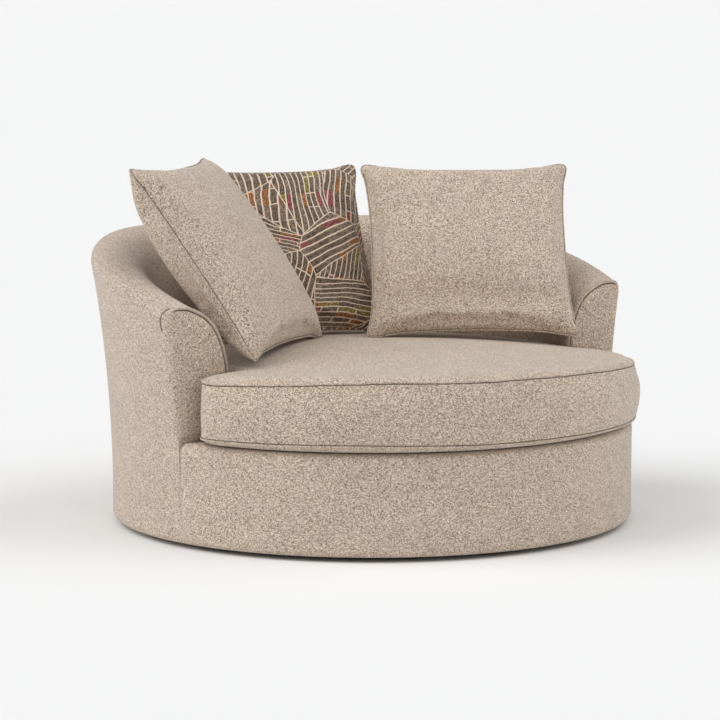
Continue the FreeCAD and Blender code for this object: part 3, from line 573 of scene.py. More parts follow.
def front_ring(step=None, inset=0.0):
    """One ring of the arm front as radius, distance to the front and height, or the seam's groove."""
    low = DECK + 0.0006
    rim = Rim(ARM_TURN)
    parts = [(part, i / count) for part, first, last, count in (
        ("wall", 0, 13, 14), ("outer", 0, 10, 10), ("crown", 1, 10, 10), ("inner", 1, 10, 10),
        ("lean", 1, 12, 12), ("down", 1, 3, 3)) for i in range(first, last + 1)]
    out = []
    for part, share in parts:
        height = low + (rim.shoulder - low) * share
        roll, seam = front_edge(part, share, height)
        depth, y = roll + inset, GROOVE_Y
        if step is not None:
            sewn_depth, sewn_y, flush_depth, flush_y = FACING[step]
            depth = roll + sewn_depth * seam + flush_depth * (1 - seam)
            y = sewn_y * seam + flush_y * (1 - seam)
        if part == "wall":
            radius = rim.wall(height, depth)
        elif part == "down":
            level = rim.at("lean", depth, 1.0)[1]
            radius, height = SEAT_WALL + depth, level + (low - level) * share
        else:
            radius, height = rim.at(part, depth, share)
        out.append((radius, y, height))
    return out


def arm_front(side, name, *replaced):
    """Rings drawn in from the seam, then a flat field filled between its two sides."""
    rings = [front_ring(step) for step in range(len(FACING))]
    n, rear = len(rings[0]), len(rings) * len(rings[0])
    points = [p for ring in rings for p in ring] + [(x, FACING_REAR_Y, z) for x, _, z in rings[0]]

    def field(first):
        return [(first + k, first + k + 1, first + n - 2 - k, first + n - 1 - k)
                for k in range(n // 2 - 1)]

    faces = grid_faces(len(rings), n) + field(rear - n)
    faces += [(k + 1, k, rear + k, rear + k + 1) for k in range(n - 1)]
    faces += [(*range(rear - n, -1, -n), rear, rear + n - 1, *range(n - 1, rear, n))]
    faces += [quad[::-1] for quad in field(rear)]
    verts = [before_axis(side, *p) for p in points]
    panel = outward(finish_mesh(name, verts, faces, [(side * v.x + 0.31, v.z) for v in verts]))
    sharpen(panel, {(k, k + 1) for k in range(n - 1)})
    use(panel, oatmeal, chair, "oatmeal_fabric", *replaced)
    groove = [before_axis(side, *p) for p in front_ring(inset=0.0022)[24:]]
    rim = Rim(ARM_TURN)

    def on_cover(part, share, turn):
        """A point on the tub cover behind the front edge, by its place on the arm's section."""
        if part == "wall":
            x, z = rim.wall(rim.shoulder - share, -0.004), rim.shoulder - share
        else:
            x, z = rim.at(part, -0.004, share)
        return lay_on(cover, sided(side, spot(x, z, turn)), 0.0009)

    pleat = [on_cover(*stop) for stop in (
        ("wall", 0.024, 79.1), ("wall", 0.016, 79.3), ("wall", 0.008, 79.4), ("outer", 0.0, 79.4),
        ("outer", 0.15, 79.3), ("outer", 0.3, 79.1), ("outer", 0.45, 78.85), ("outer", 0.6, 78.6),
        ("outer", 0.75, 78.35), ("outer", 0.9, 78.1))]
    # The dark thread tube along the pleat and down the seam groove is painted shade, standing in for the
    # groove's shadow.
    use(tube_along(name + "_seam", pleat + groove, 0.0013, 6, False), thread, chair, "oatmeal_fabric")


def top_stitch_path(side):
    """A line 7 mm outside the seam, on the rolled edge, from the crown down the inner side."""
    rim, up = Rim(ARM_TURN), math.radians(47)
    line = []
    for part, count in (("crown", 8), ("inner", 10), ("lean", 12)):
        for i in range(1, count + 1):
            roll = front_edge(part, i / count, 0)[0]
            x, z = rim.at(part, roll * (1 - math.cos(up)) - 0.0003, i / count)
            line.append(before_axis(side, x, ARM_FRONT - roll + roll * math.sin(up) + 0.0003, z))
    return line


# drum front with its tucked hem and rounded lip

def drum_front():
    steps, past = 96, 2

    def section(depth):
        low = HEM_HEIGHT + HEM_ROUND
        wall = [(DRUM - depth, low + (DECK - LIP - low) * i / 12) for i in range(1, 12)]
        lip = arc_points((DRUM - LIP, DECK - LIP), LIP - depth, 0, 90, 8)
        ledge = [(DRUM - LIP - (LIP_DEPTH - LIP) * i / 3, DECK - depth) for i in range(1, 4)]
        return hem_section(depth) + wall + lip + ledge

    def skin(depth):
        rows = []
        for j in range(-past, steps + past + 1):
            share = max(0, min(j / steps, 1))
            tuck = max(0, -j, j - steps) * 0.0003
            row = []
            for radius, height in section(depth):
                turn = front_turn(radius, ARM_FRONT + 0.0001) * (2 * share - 1)
                place = spot(radius - tuck, height, turn)
                if depth == 0.0 and 0 < share < 1 and height > 0.03:
                    fade = ease(min(share, 1 - share) / 0.03)
                    place += place.normalized() * (wobble(place, 0.0010) * fade)
                row.append(place)
            rows.append(row)
        return rows

    lengths = run_lengths(section(0.0))
    uv = [[(0.7 * math.radians(154) * j / steps + 5.0, v) for v in lengths]
          for j in range(-past, steps + past + 1)]
    use(cloth_shell("drum_front", skin(0.0), skin(CLOTH), uv), oatmeal, chair, "oatmeal_fabric",
        "front_border_cover", "front_border_pad")


# seat cushion

CUSHION_FRONT, CUSHION_REAR, EAR_LINE, BULGE = 0.710, 0.551, 0.163, 0.014
CUSHION_MIDDLE_Y = -0.1


def cushion_outline(depth, bulge):
    """The T-shaped outline, drawn in by a depth and swelling at its front and ears."""
    front, rear, line = CUSHION_FRONT + bulge - depth, CUSHION_REAR - depth, EAR_LINE + depth
    corner, neck = 0.082 + bulge - depth, 0.006 + depth
    ear_y, neck_y = -line - corner, -line + neck
    ear_x = math.sqrt((front - corner) ** 2 - ear_y ** 2)
    neck_x = math.sqrt((rear + neck) ** 2 - neck_y ** 2)
    front_end = math.degrees(math.atan2(ear_y, ear_x))
    neck_end = math.degrees(math.atan2(neck_y, neck_x))
    half = arc_points((0, 0), front, -90, front_end, 44)[:-1]
    half += arc_points((ear_x, ear_y), corner, front_end, 90, 22)
    half += [(ear_x + (neck_x - ear_x) * i / 3, -line) for i in range(1, 3)]
    half += arc_points((neck_x, neck_y), neck, 270, 180 + neck_end, 4)[:-1]
    half += arc_points((0, 0), rear, neck_end, 90, 56)
    return half + [(-x, y) for x, y in reversed(half[1:-1])]


def corner_lift(x, y):
    """The left front corner of the cushion sits a little proud of the platform."""
    return (0.015 * ease((math.hypot(x, y) - 0.50) / 0.16) * ease((-x - 0.05) / 0.42)
            * ease((-y - 0.05) / 0.20))


def cushion_top(x, y):
    back = y - CUSHION_MIDDLE_Y
    fall = 17.0 if back < 0 else 12.4
    return 0.481 - x * x / 8.2 - back * back / fall + corner_lift(x, y)


def cushion_belly(x, y):
    """Height of the lower seam."""
    back = y - CUSHION_MIDDLE_Y
    return 0.2748 + back * back / 45.0 + 0.65 * corner_lift(x, y)


def cushion_underside(x, y, share):
    """Flat on the platform, then rolling up to the seam near the edge."""
    rise = max(0.0, (share - 0.962) / 0.038) ** 1.1
    return DECK + 0.0005 + (cushion_belly(x, y) - DECK - 0.0005) * rise


def cushion_body(inset):
    """Closed crowned form: underside, boxing that swells and the top panel."""
    seam = cushion_outline(inset, 0.0)
    rings = []

    def ring(line, height):
        rings.append([Vector((x, y, height(x, y))) for x, y in line])

    def shrunk(share):
        return [(share * x, CUSHION_MIDDLE_Y + share * (y - CUSHION_MIDDLE_Y)) for x, y in seam]

    for share in (0.12, 0.3, 0.5, 0.7, 0.83, 0.9, 0.945, 0.962, 0.975, 0.988, 1.0):
        ring(shrunk(share), lambda x, y: cushion_underside(x, y, share) + 0.5 * inset)
    for share in (i / 10 for i in range(1, 10)):
        ring(cushion_outline(inset, BULGE * math.sin(math.pi * share) ** 0.8),
             lambda x, y: cushion_belly(x, y) * (1 - share) + cushion_top(x, y) * share)
    for share in (1.0, 0.985, 0.965, 0.94, 0.9, 0.83, 0.72, 0.58, 0.42, 0.27, 0.12):
        ring(shrunk(share), lambda x, y: cushion_top(x, y) - 0.004 * share ** 14)
    return closed_rings("seat_cushion", rings)


def closed_rings(name, rings, smooth=True, hub_at=None):
    """A closed form through rings of points, with a fan at each end."""
    n = len(rings[0])
    verts = [p for row in rings for p in row]
    faces = ring_faces(len(rings), n)
    for row in (0, len(rings) - 1):
        faces += [(row * n + i, row * n + (i + 1) % n, len(verts)) for i in range(n)]
        verts.append(Vector((*hub_at, rings[row][0].z)) if hub_at else sum(rings[row], Vector()) / n)
    return outward(finish_mesh(name, verts, faces, smooth=smooth))


def apply_modifiers(obj):
    graph = bpy.context.evaluated_depsgraph_get()
    made = bpy.data.meshes.new_from_object(obj.evaluated_get(graph))
    obj.modifiers.clear()
    obj.data = made


def inflate(obj, voxel, pressure, cap, frames, smooth, hold=None):
    """Cloth simulation: the closed form swells under pressure, each point within a cap."""
    made = obj.modifiers.new("remesh", "REMESH")
    made.mode, made.voxel_size = "VOXEL", voxel
    apply_modifiers(obj)
    start = [v.co.copy() for v in obj.data.vertices]
    cloth = obj.modifiers.new("cloth", "CLOTH")
    cloth.settings.effector_weights.gravity = 0
    for key, value in dict(use_pressure=True, uniform_pressure_force=pressure, quality=5, mass=0.3,
                           tension_stiffness=20, compression_stiffness=12, bending_stiffness=0.6).items():
        setattr(cloth.settings, key, value)
    if hold is not None:
        group = obj.vertex_groups.new(name="held")
        group.add([v.index for v in obj.data.vertices if hold(v.co)], 1.0, "REPLACE")
        cloth.settings.vertex_group_mass = "held"
    scene = bpy.context.scene
    for step in range(1, frames + 1):
        scene.frame_set(step)
    apply_modifiers(obj)
    scene.frame_set(1)
    for v, first in zip(obj.data.vertices, start):
        move = v.co - first
        if move.length > cap:
            v.co = first + move * (cap / move.length)
    obj.vertex_groups.clear()

    def ease_out(bm):
        for _ in range(smooth):
            bmesh.ops.smooth_vert(bm, verts=bm.verts, factor=0.5, use_axis_x=True, use_axis_y=True,
                                  use_axis_z=True)

    rework(obj, ease_out)


def subdivide(obj):
    smooth = obj.modifiers.new("smooth", "SUBSURF")
    smooth.levels = smooth.render_levels = 1
    apply_modifiers(obj)


def map_faces(obj, place):
    """Gives a piece its cloth map, a place for each corner of each face, and smooth shading."""
    mesh = obj.data
    layer = mesh.uv_layers.new(name="cloth")
    for face in mesh.polygons:
        for index, uv in zip(face.loop_indices, place(face)):
            layer.data[index].uv = uv
    mesh.polygons.foreach_set("use_smooth", [True] * len(mesh.polygons))


def tube_along(name, points, radius, sides=8, closed=True, flat=1.0):
    """A thin welt along a path, thicker one way than the other if flat isn't 1."""
    verts, uvs = [], []
    count, lengths = len(points), run_lengths(points)
    for i, p in enumerate(points):
        before = points[i - 1] if closed else points[max(i - 1, 0)]
        after = points[(i + 1) % count] if closed else points[min(i + 1, count - 1)]
        ahead = (after - before).normalized()
        level = Vector((0, 0, 1)).cross(ahead)
        level = level.normalized() if level.length > 1e-6 else Vector((1, 0, 0))
        upward = ahead.cross(level)
        for k in range(sides):
            angle = 2 * math.pi * k / sides
            across, rise = radius * math.cos(angle), radius * flat * math.sin(angle)
            verts.append(p + level * across + upward * rise)
            uvs.append((lengths[i], 0.3 + radius * k))
    faces = ring_faces(count, sides, wrap=closed)
    if not closed:
        faces += [tuple(range(sides)), tuple((count - 1) * sides + k for k in range(sides))]
    return outward(finish_mesh(name, verts, faces, uvs))


def nearest_on(obj):
    return BVHTree.FromObject(obj, bpy.context.evaluated_depsgraph_get())


def lay_on(surface, point, above):
    """The nearest place on a surface, raised along its normal."""
    hit, normal, _, _ = surface.find_nearest(point)
    return hit + normal * above


def seat_cushion():
    """Builds the cushion with its welts and zip. Gives the paths of its stitches and its zip."""
    body, slot, corner = "seat_cushion", "oatmeal_fabric", 0.5525
    cushion = cushion_body(0.0025)
    inflate(cushion, 0.0085, 3.0, 0.006, 12, 2, lambda p: p.z < cushion_belly(p.x, p.y) + 0.012)
    ear_back = -EAR_LINE - 0.0003
    for v in cushion.data.vertices:
        p = v.co
        p.z = min(max(p.z, DECK + 0.0004), cushion_top(p.x, p.y) + 0.0005)
        reach = math.hypot(p.x, p.y)
        if p.y > ear_back + 0.004 and reach > corner:
            p.x, p.y = p.x * corner / reach, p.y * corner / reach
        elif reach > 0.557 and p.y > ear_back:
            p.y = ear_back
    subdivide(cushion)
    outline = cushion_outline(0.0, 0.0)
    half = outline[:len(outline) // 2 + 1]
    spots = KDTree(len(half))
    for i, (x, y) in enumerate(half):
        spots.insert((x, y, 0), i)
    spots.balance()
    lengths = run_lengths(half)

    def place(p, n):
        if abs(n.z) > 0.62:
            return (p.x + 9.0, p.y + (3.0 if n.z < 0 else 0.0))
        near, index, _ = spots.find((abs(p.x), p.y, 0))
        step = min(index + 1, len(half) - 1)
        ahead = Vector((*half[step], 0)) - Vector((*half[step - 1], 0))
        along = lengths[index] + (Vector((abs(p.x), p.y, 0)) - near).dot(ahead.normalized())
        return (math.copysign(along, p.x) + 15.0, p.z)

    points = cushion.data.vertices
    map_faces(cushion, lambda face: [place(points[i].co, face.normal) for i in face.vertices])
    use(cushion, oatmeal, body, slot, "seat_cushion_cover", "seat_cushion_core")
    surface = nearest_on(cushion)
    stitches = []
    for label, height, inward in (("top", cushion_top, -1), ("bottom", cushion_belly, 1)):
        line = [lay_on(surface, Vector((x, y, height(x, y) + 0.003 * inward)), 0.0009)
                for x, y in outline]
        use(tube_along(f"seat_cushion_{label}_welt", line, 0.0029), oatmeal, body, slot)
        beside = [lay_on(surface, p + Vector((0, 0, 0.0045 * inward)), 0.0002) for p in line]
        # The dark tube beside each welt is painted shade for the shadow line under the welt; the stitches
        # follow the same line.
        use(tube_along(f"seat_cushion_{label}_seam", beside, 0.0011, 6), thread, body, slot)
        stitches.append([p + (p - Vector((0, 0, p.z))).normalized() * 0.0001 for p in beside])
    rear = []
    for i in range(61):
        x, y = polar((0, 0), 0.5495, -6 + 192 * i / 60)
        guess = Vector((x, y, (cushion_top(x, y) + cushion_belly(x, y)) / 2))
        rear.append(lay_on(surface, guess, 0.0001))
    use(tube_along("seat_cushion_zip_tape", rear, 0.0045, 8, False, 0.2), zip_cloth, body, slot)
    return stitches, [rear]


# loose pillows

# width, height, thickness, turn and lean in degrees, place on the cloth, material, slot and body
PILLOWS = {
    "left_pillow": (0.585, 0.588, 0.170, 41, 35, 5.0, oatmeal, "oatmeal_fabric", "left_pillow_body"),
    "patterned_pillow": (0.502, 0.545, 0.150, -14.4, 34, 6.0, hatched, "patterned_fabric",
                         "patterned_pillow_body"),
    "right_pillow": (0.580, 0.552, 0.165, -29, 35, 7.0, oatmeal, "oatmeal_fabric", "right_pillow_body"),
}


def pillow_edge(width, height):
    """Outline with lightly drawn-in sides and blunt corners."""
    corner, drawn, count = 0.026, 0.014, 36
    line = []
    for cos, sin in ((1, 0), (0, 1), (-1, 0), (0, -1)):
        long, wide = (width / 2, height / 2) if cos else (height / 2, width / 2)
        side = []
        for i in range(count + 1):
            s = -1 + 2 * i / count
            side.append((s * (long - corner), -wide + drawn * (1 - s * s)))
        side += arc_points((long - corner, -wide + corner), corner, -90, 0, 6)[1:-1]
        line += [(x * cos - y * sin, x * sin + y * cos) for x, y in side]
    return line


def pillow_form(name, width, height, thick):
    edge = pillow_edge(width, height)
    levels = (0.12, 0.3, 0.46, 0.6, 0.72, 0.82, 0.9, 0.955, 0.985)

    def ring(share, side):
        row = []
        for x, y in edge:
            u, v = min(abs(2 * share * x / width), 1), min(abs(2 * share * y / height), 1)
            puff = 0.40 * thick * ((1 - u ** 2.2) * (1 - v ** 2.2)) ** 0.62
            row.append(Vector((share * x, share * y, side * puff)))
        return row

    return closed_rings(name, [ring(share, -1) for share in levels] + [ring(1, 0)]
                        + [ring(share, 1) for share in reversed(levels)])


def fit_local(obj, width, height, thick):
    """Brings the swollen form back to the pillow's own width, height and thickness."""
    for axis, goal in enumerate((width, height, thick)):
        values = [v.co[axis] for v in obj.data.vertices]
        low, high = min(values), max(values)
        for v in obj.data.vertices:
            v.co[axis] = (v.co[axis] - (low + high) / 2) * goal / (high - low)


def crease(obj, start, end, depth, width):
    """A soft dent in the face that shows, from one point to another."""
    a, b = Vector((*start, 0)), Vector((*end, 0))
    run = b - a
    for v in obj.data.vertices:
        if v.co.z < 0.01:
            continue
        flat = Vector((v.co.x, v.co.y, 0))
        along = (flat - a).dot(run) / run.length_squared
        near = a + run * max(0.0, min(along, 1.0))
        fade = math.exp(-((flat - near).length / width) ** 2)
        middle = math.sin(math.pi * max(0.03, min(0.97, 0.5 + (along - 0.5) * 0.9)))
        v.co.z -= depth * fade * middle


def knife_edge(obj, name, radius):
    """The sewn edge: a thin ridge along the furthest points all round, and beside it a dark line of
    painted shade for the seam's shadow.
    """
    best = [None] * 220
    for v in obj.data.vertices:
        if abs(v.co.z) <= 0.03:
            sector = int((math.atan2(v.co.y, v.co.x) / (2 * math.pi)) % 1.0 * len(best)) % len(best)
            reach = math.hypot(v.co.x, v.co.y)
            if best[sector] is None or reach > best[sector][0]:
                best[sector] = (reach, v.co.copy())
    points = [found[1] for found in best if found]
    line = []
    for i, p in enumerate(points):
        level = sum(points[(i + k) % len(points)].z for k in range(-4, 5)) / 9
        line.append(Vector((p.x, p.y, level)))
    line = [(line[i - 1] + line[i] * 2 + line[(i + 1) % len(line)]) / 4 for i in range(len(line))]
    line = [p + p.normalized() * 0.0012 for p in line]
    surface = nearest_on(obj)
    beside = [lay_on(surface, p + Vector((0, 0, 0.0038)), 0.0005) for p in line]
    seam = tube_along(name.replace("_edge", "_seam"), beside, 0.0008, 6)
    return tube_along(name, line, radius), seam


def settle(obj, height, width, depth):
    """The face falls away gently towards the bottom seam, without a ridge."""
    for v in obj.data.vertices:
        if v.co.z > 0:
            u, w = 2 * v.co.x / width, 2 * v.co.y / height
            low = math.exp(-((w + 0.70) / 0.21) ** 2) * max(0.0, 1 - u * u) ** 0.5
            v.co.z *= 1 - depth * low


def slump(obj):
    """The left pillow sags back over the arm, so its rear swells past the seam."""
    for v in obj.data.vertices:
        if v.co.z < 0:
            u, w = v.co.x / 0.29, v.co.y / 0.29
            side = math.exp(-((u + 0.62) / 0.42) ** 2) * math.exp(-((w - 0.25) / 0.75) ** 2)
            back = min(-v.co.z / 0.05, 1.0)
            v.co.z -= 0.022 * side * back


def swell_map(obj, seed):
    """Flat map of a swollen pillow that measures along the cloth, from the middle outwards."""
    surface = nearest_on(obj)
    spokes, stops, reach = 96, 105, 0.42

    def profile(side, angle):
        line = []
        for m in range(stops + 1):
            r = reach * m / stops
            at = Vector((r * math.cos(angle), r * math.sin(angle), 0.4 * side))
            hit = surface.ray_cast(at, Vector((0, 0, -side)))[0]
            line.append((r, hit.z if hit else 0.0))
        return [(*here, run) for here, run in zip(line, run_lengths(line))]

    tables = {side: [profile(side, 2 * math.pi * k / spokes) for k in range(spokes)] for side in (1, -1)}

    def along(spoke, r, z):
        """Distance run along one spoke to the place nearest to a point, and how far off it is."""
        middle = int(r / reach * stops)
        best = (1.0, 0.0)
        for i in range(max(middle - 2, 0), min(middle + 3, stops)):
            (r0, z0, run), (r1, z1, ahead) = spoke[i:i + 2]
            length = ahead - run
            part = max(0.0, min(((r - r0) * (r1 - r0) + (z - z0) * (z1 - z0)) / length ** 2, 1.0))
            off = math.hypot(r - r0 - part * (r1 - r0), z - z0 - part * (z1 - z0))
            best = min(best, (off, run + part * length))
        return best

    def measure(p, side):
        r = math.hypot(p.x, p.y)
        turn = (math.atan2(p.y, p.x) / (2 * math.pi)) % 1.0 * spokes
        k, part = int(turn) % spokes, turn - int(turn)
        near, far = along(tables[side][k], r, p.z), along(tables[side][(k + 1) % spokes], r, p.z)
        grow = (near[1] * (1 - part) + far[1] * part) / max(r, 1e-5)
        return near[0] + far[0], (p.x * grow + seed, p.y * grow + (0.9 if side < 0 else 0.0))

    @lru_cache(None)
    def known(index, side):
        return measure(obj.data.vertices[index].co, side)[1]

    def place(face):
        side = 1 if face.center.z > 0 else -1
        if abs(face.center.z) <= 0.02:
            side = 1 if measure(face.center, 1)[0] <= measure(face.center, -1)[0] else -1
        return [known(index, side) for index in face.vertices]

    map_faces(obj, place)


CREASES = {
    "left_pillow": [((-0.10, 0.06), (-0.02, 0.03), 0.004, 0.012)],
    "right_pillow": [((-0.255, 0.14), (-0.17, 0.17), 0.006, 0.014),
                     ((0.22, -0.20), (0.17, -0.15), 0.004, 0.012)],
    "patterned_pillow": [((0.19, 0.20), (0.14, 0.15), 0.004, 0.012)],
}


def pillow(name):
    width, height, thick, turn, lean, seed, material, slot_name, body = PILLOWS[name]
    own = name.replace("pillow", "scatter_pillow")
    form = pillow_form(own, width, height, thick)
    inflate(form, 0.006, 4.0, 0.024, 20, 5)
    fit_local(form, width, height, thick)
    subdivide(form)
    for start, end, depth, wide in CREASES[name]:
        crease(form, start, end, depth, wide)
    settle(form, height, width, 0.30 if name == "right_pillow" else 0.08)
    if name == "left_pillow":
        slump(form)
    edge, seam = knife_edge(form, own + "_edge", 0.0026)
    swell_map(form, seed)
    tilt = (Matrix.Rotation(math.radians(turn), 4, "Z")
            @ Matrix.Rotation(math.radians(90 - lean), 4, "X"))
    back = tilt.inverted()
    solid = [back @ v.co for v in nodes[name].data.vertices]
    middle = Vector([(min(p[i] for p in solid) + max(p[i] for p in solid)) / 2 for i in range(3)])
    for piece in (form, edge, seam):
        piece.data.transform(tilt @ Matrix.Translation(middle))
        for v in piece.data.vertices:
            rest = cushion_top(v.co.x, v.co.y) + 0.0008
            if v.co.z < rest and v.co.y > -0.66:
                v.co.z = rest
        # The seam tube is painted shade: a dark line for the seam's shadow, in seam thread on the left
        # pillow and in stitching thread on the others.
        use(piece, (thread if name == "left_pillow" else stitch_and_seam_shade) if piece is seam else material, body,
            slot_name)
    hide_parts(name)


# platform cloth, dust cloth

def platform_cloth():
    front = [polar((0, 0), 0.63, a - 90) for a in range(-73, 74, 4)]
    rear = [polar((0, 0), 0.5505, a - 90) for a in range(78, 283, 4)]
    side = math.sqrt(0.5505 ** 2 - 0.155 ** 2)
    line = front + [(0.612, -0.1585), (side, -0.1545)] + rear + [(-side, -0.1545), (-0.612, -0.1585)]
    shares, under, over = (0.2, 0.4, 0.6, 0.8, 0.93, 0.985, 1.0), 0.2692, 0.2719
    levels = [(s, under) for s in shares] + [(1.0, over - 0.0012)] + [(s, over) for s in shares[-2::-1]]
    rings = [[Vector((x * share, y * share, height)) for x, y in line] for share, height in levels]
    use(closed_rings("platform_cloth", rings, False, (0, 0)), deck_weave, chair, "black_cloth",
        "deck_cover", "deck_pad")


def dust_cloth():
    low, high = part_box("dust_cover")
    steps, verts = 96, []
    radii = [0.4005, 0.425, 0.46, 0.50, 0.54, 0.58, 0.62, high.x - 0.003]
    for base in (low.z + 0.0001, high.z - 0.0001):
        for radius in radii:
            for i in range(steps):
                place = spot(radius, 0, 360 * i / steps)
                sag = 0.0 if radius in (radii[0], radii[-1]) else -0.0005 * (1 + noise.noise(place * 9))
                verts.append(Vector((place.x, place.y, base + sag)))
    half = len(verts) // 2
    faces = ring_faces(len(radii), steps) + ring_faces(len(radii), steps, half)
    for first in (0, half - steps):
        for i in range(steps):
            a, b = first + i, first + (i + 1) % steps
            faces.append((a, b, half + b, half + a))
    use(outward(finish_mesh("dust_cloth", verts, faces)), black_cloth, chair, "black_cloth", "dust_cover")


# rows that follow a path: stitches, staples, zip teeth and bolts

ROW_SIZES = ("Pitch", "Length", "Thickness", "Seed")


def row_tree(name, shape, material):
    """Geometry Nodes tree that sets small pieces along a path, each turned along it."""
    tree = bpy.data.node_groups.new(name, "GeometryNodeTree")
    sockets = {}
    for label, way, kind in (("Path", "INPUT", "Geometry"), ("Pitch", "INPUT", "Float"),
                             ("Length", "INPUT", "Float"), ("Thickness", "INPUT", "Float"),
                             ("Seed", "INPUT", "Int"), ("Rows", "OUTPUT", "Geometry")):
        made = tree.interface.new_socket(label, in_out=way, socket_type="NodeSocket" + kind)
        sockets[label] = made.identifier
    given, result = (tree.nodes.new("NodeGroup" + way) for way in ("Input", "Output"))
    pitch, length, thickness, seed = (given.outputs[label] for label in ROW_SIZES)
    curve = node(tree, "GeometryNodeMeshToCurve", Mesh=given.outputs["Path"])
    spaced = tree.nodes.new("GeometryNodeResampleCurve")
    spaced.mode = "LENGTH"
    feed_all(spaced, {"Curve": curve.outputs[0], "Length": pitch})
    turned = node(tree, "FunctionNodeAlignRotationToVector",
                  Vector=tree.nodes.new("GeometryNodeInputTangent").outputs[0])
    turned.axis = "X"
    vary = node(tree, "FunctionNodeRandomValue", Seed=seed)
    vary.data_type = "FLOAT"
    vary.inputs[2].default_value, vary.inputs[3].default_value = 0.88, 1.06
    long = maths(tree, "MULTIPLY", length, vary.outputs[1])
    size = node(tree, "ShaderNodeCombineXYZ", X=long, Y=thickness, Z=thickness)
    if shape == "bar":
        piece = node(tree, "GeometryNodeMeshCube", Size=(1, 1, 1))
    else:
        piece = node(tree, "GeometryNodeMeshIcoSphere", Radius=0.5,
                     Subdivisions=1 if shape == "thread" else 2)
    placed = node(tree, "GeometryNodeInstanceOnPoints", Points=spaced.outputs[0],
                  Rotation=turned.outputs[0], Instance=piece.outputs["Mesh"], Scale=size.outputs[0])
    real = node(tree, "GeometryNodeRealizeInstances", Geometry=placed.outputs[0])
    painted = node(tree, "GeometryNodeSetMaterial", Geometry=real.outputs[0], Material=material)
    feed(result.inputs["Rows"], painted.outputs[0])
    return tree, sockets


def piece_rows(name, paths, sizes, shape, material, body, slot, closed=True):
    """One plain mesh of all the small pieces along the given paths."""
    verts, edges = [], []
    for path in paths:
        first = len(verts)
        verts += path
        edges += [(first + i, first + i + 1) for i in range(len(path) - 1)]
        if closed:
            edges.append((len(verts) - 1, first))
    obj = finish_mesh(name, verts, [], edges=edges)
    tree, sockets = row_tree(name + "_rows", shape, material)
    rows = obj.modifiers.new("rows", "NODES")
    rows.node_group = tree
    for label, value in zip(ROW_SIZES, sizes):
        rows[sockets[label]] = value
    apply_modifiers(obj)
    obj.data.polygons.foreach_set("use_smooth", [shape != "bar"] * len(obj.data.polygons))
    use(obj, material, body, slot)


def ring_path(radius, height, count, offset=0.0):
    return [spot(radius, height, offset + 360 * i / count) for i in range(count)]


cover = nearest_on(tub_cover())
arm_front(-1, "left_arm_front", "left_arm_facing", "left_facing_pad")
arm_front(1, "right_arm_front", "right_arm_facing", "right_facing_pad")
drum_front()
platform_cloth()
dust_cloth()
cushion_stitches, zip_line = seat_cushion()
for pillow_name in PILLOWS:
    pillow(pillow_name)

for row in (
        ("arm_stitches", [top_stitch_path(side) for side in (-1, 1)], (0.0075, 0.0056, 0.0013, 3),
         "thread", stitch_and_seam_shade, chair, "oatmeal_fabric", False),
        ("cushion_stitches", cushion_stitches, (0.0070, 0.0050, 0.0012, 5), "thread", stitch_and_seam_shade,
         "seat_cushion", "oatmeal_fabric"),
        ("cushion_zip_teeth", zip_line, (0.0034, 0.0019, 0.0042, 7), "bar", plastic, "seat_cushion",
         "oatmeal_fabric", False),
        ("dust_cloth_staples", [ring_path(0.612, 0.0137, 240), ring_path(0.437, 0.0137, 180)],
         (0.030, 0.0125, 0.0011, 11), "bar", zinc, chair, "black_cloth"),
        ("hem_staples", [ring_path(0.660, 0.0118, 240)], (0.036, 0.0125, 0.0011, 13), "bar", zinc, chair,
         "oatmeal_fabric"),
        ("foot_bolts", [ring_path(0.184, 0.0047, 96, 45.0)], (0.2889, 0.015, 0.0052, 17), "dome", zinc,
         "floor_base", "bearing_steel")):
    piece_rows(*row)


# floor, light and camera

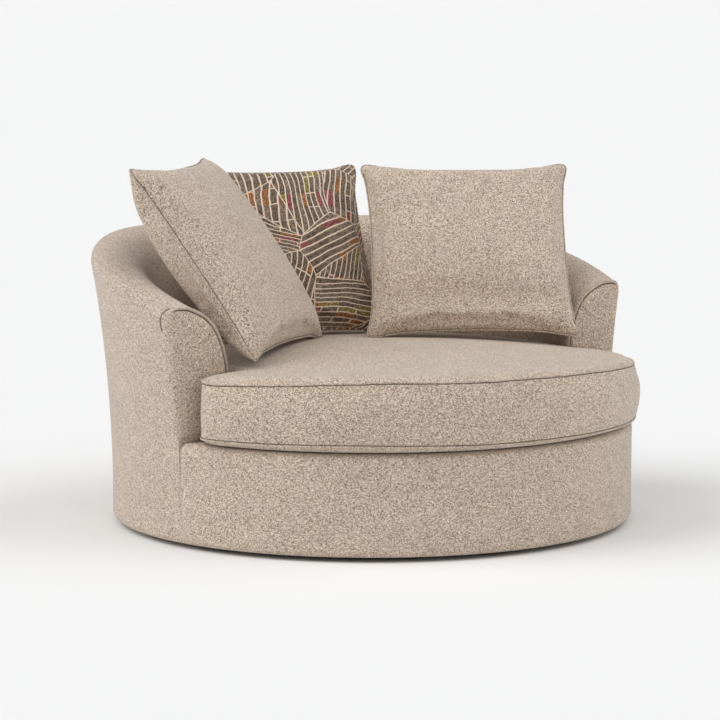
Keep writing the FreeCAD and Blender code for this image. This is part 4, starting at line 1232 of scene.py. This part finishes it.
def floor():
    rings, steps = (2.0, 12.0, 60.0, 600.0), 48
    verts = [(0, 0, 0)] + [tuple(spot(r, 0, 360 * i / steps)) for r in rings for i in range(steps)]
    faces = [(0, 1 + i, 1 + (i + 1) % steps) for i in range(steps)]
    for a in range(1, 1 + (len(rings) - 1) * steps, steps):
        for i in range(steps):
            k = (i + 1) % steps
            faces.append((a + i, a + steps + i, a + steps + k, a + k))
    obj = finish_mesh("floor", verts, faces, smooth=False)
    grey = new_material("pale_floor", (0.88, 0.88, 0.88), 1.0, Specular_IOR_Level=0.0)[0]
    obj.data.materials.append(grey)


def put(name, data, place, aim):
    """Adds a light or a camera that looks along a direction."""
    obj = bpy.data.objects.new(name, data)
    bpy.context.collection.objects.link(obj)
    obj.location = place
    obj.rotation_mode = "QUATERNION"
    obj.rotation_quaternion = aim.to_track_quat("-Z", "Y")
    return obj


def lamp(name, azimuth, elevation, power, spread):
    """Broad soft light from one side, as even as a large studio screen."""
    data = bpy.data.lights.new(name, "SUN")
    data.energy, data.angle = power, math.radians(spread)
    a, e = math.radians(azimuth), math.radians(elevation)
    put(name, data, (0, 0, 0),
        -Vector((math.sin(a) * math.cos(e), -math.cos(a) * math.cos(e), math.sin(e))))


def camera():
    """The photo's camera, aimed a few pixels beside its target, as the photo was cropped."""
    data = bpy.data.cameras.new("camera")
    data.sensor_width, data.lens = 36.0, 149.365
    data.clip_start, data.clip_end = 0.1, 1000
    focal, left, lift = 2987.3, 12.069, 46.016
    place, target = Vector((-4.316, -6.736, 1.387)), Vector((0, 0, 0.300))
    ahead = (target - place).normalized()
    right = ahead.cross(Vector((0, 0, 1))).normalized()
    up = right.cross(ahead)
    aim = ahead - right * (left / focal) + up * (lift / focal)
    bpy.context.scene.camera = put("camera", data, place, aim)


def sky():
    """Pale light at the horizon and darker grey above."""
    world = bpy.data.worlds.new("studio")
    bpy.context.scene.world = world
    world.use_nodes = True
    tree = world.node_tree
    heading = node(tree, "ShaderNodeSeparateXYZ",
                   Vector=tree.nodes.new("ShaderNodeTexCoord").outputs["Generated"])
    sweep = ramp(tree, heading.outputs["Z"], [(0.0, 0.92), (0.02, 0.92), (0.30, (0.22, 0.222, 0.225))])
    feed_all(tree.nodes["Background"], {"Color": sweep, "Strength": 1.0})


floor()
lamp("left_screen", -112, 40, 1.61, 50)
lamp("right_screen", 62, 38, 0.94, 60)
lamp("front_screen", -20, 68, 0.98, 80)
sky()
bpy.context.scene.view_settings.view_transform = "Standard"
camera()
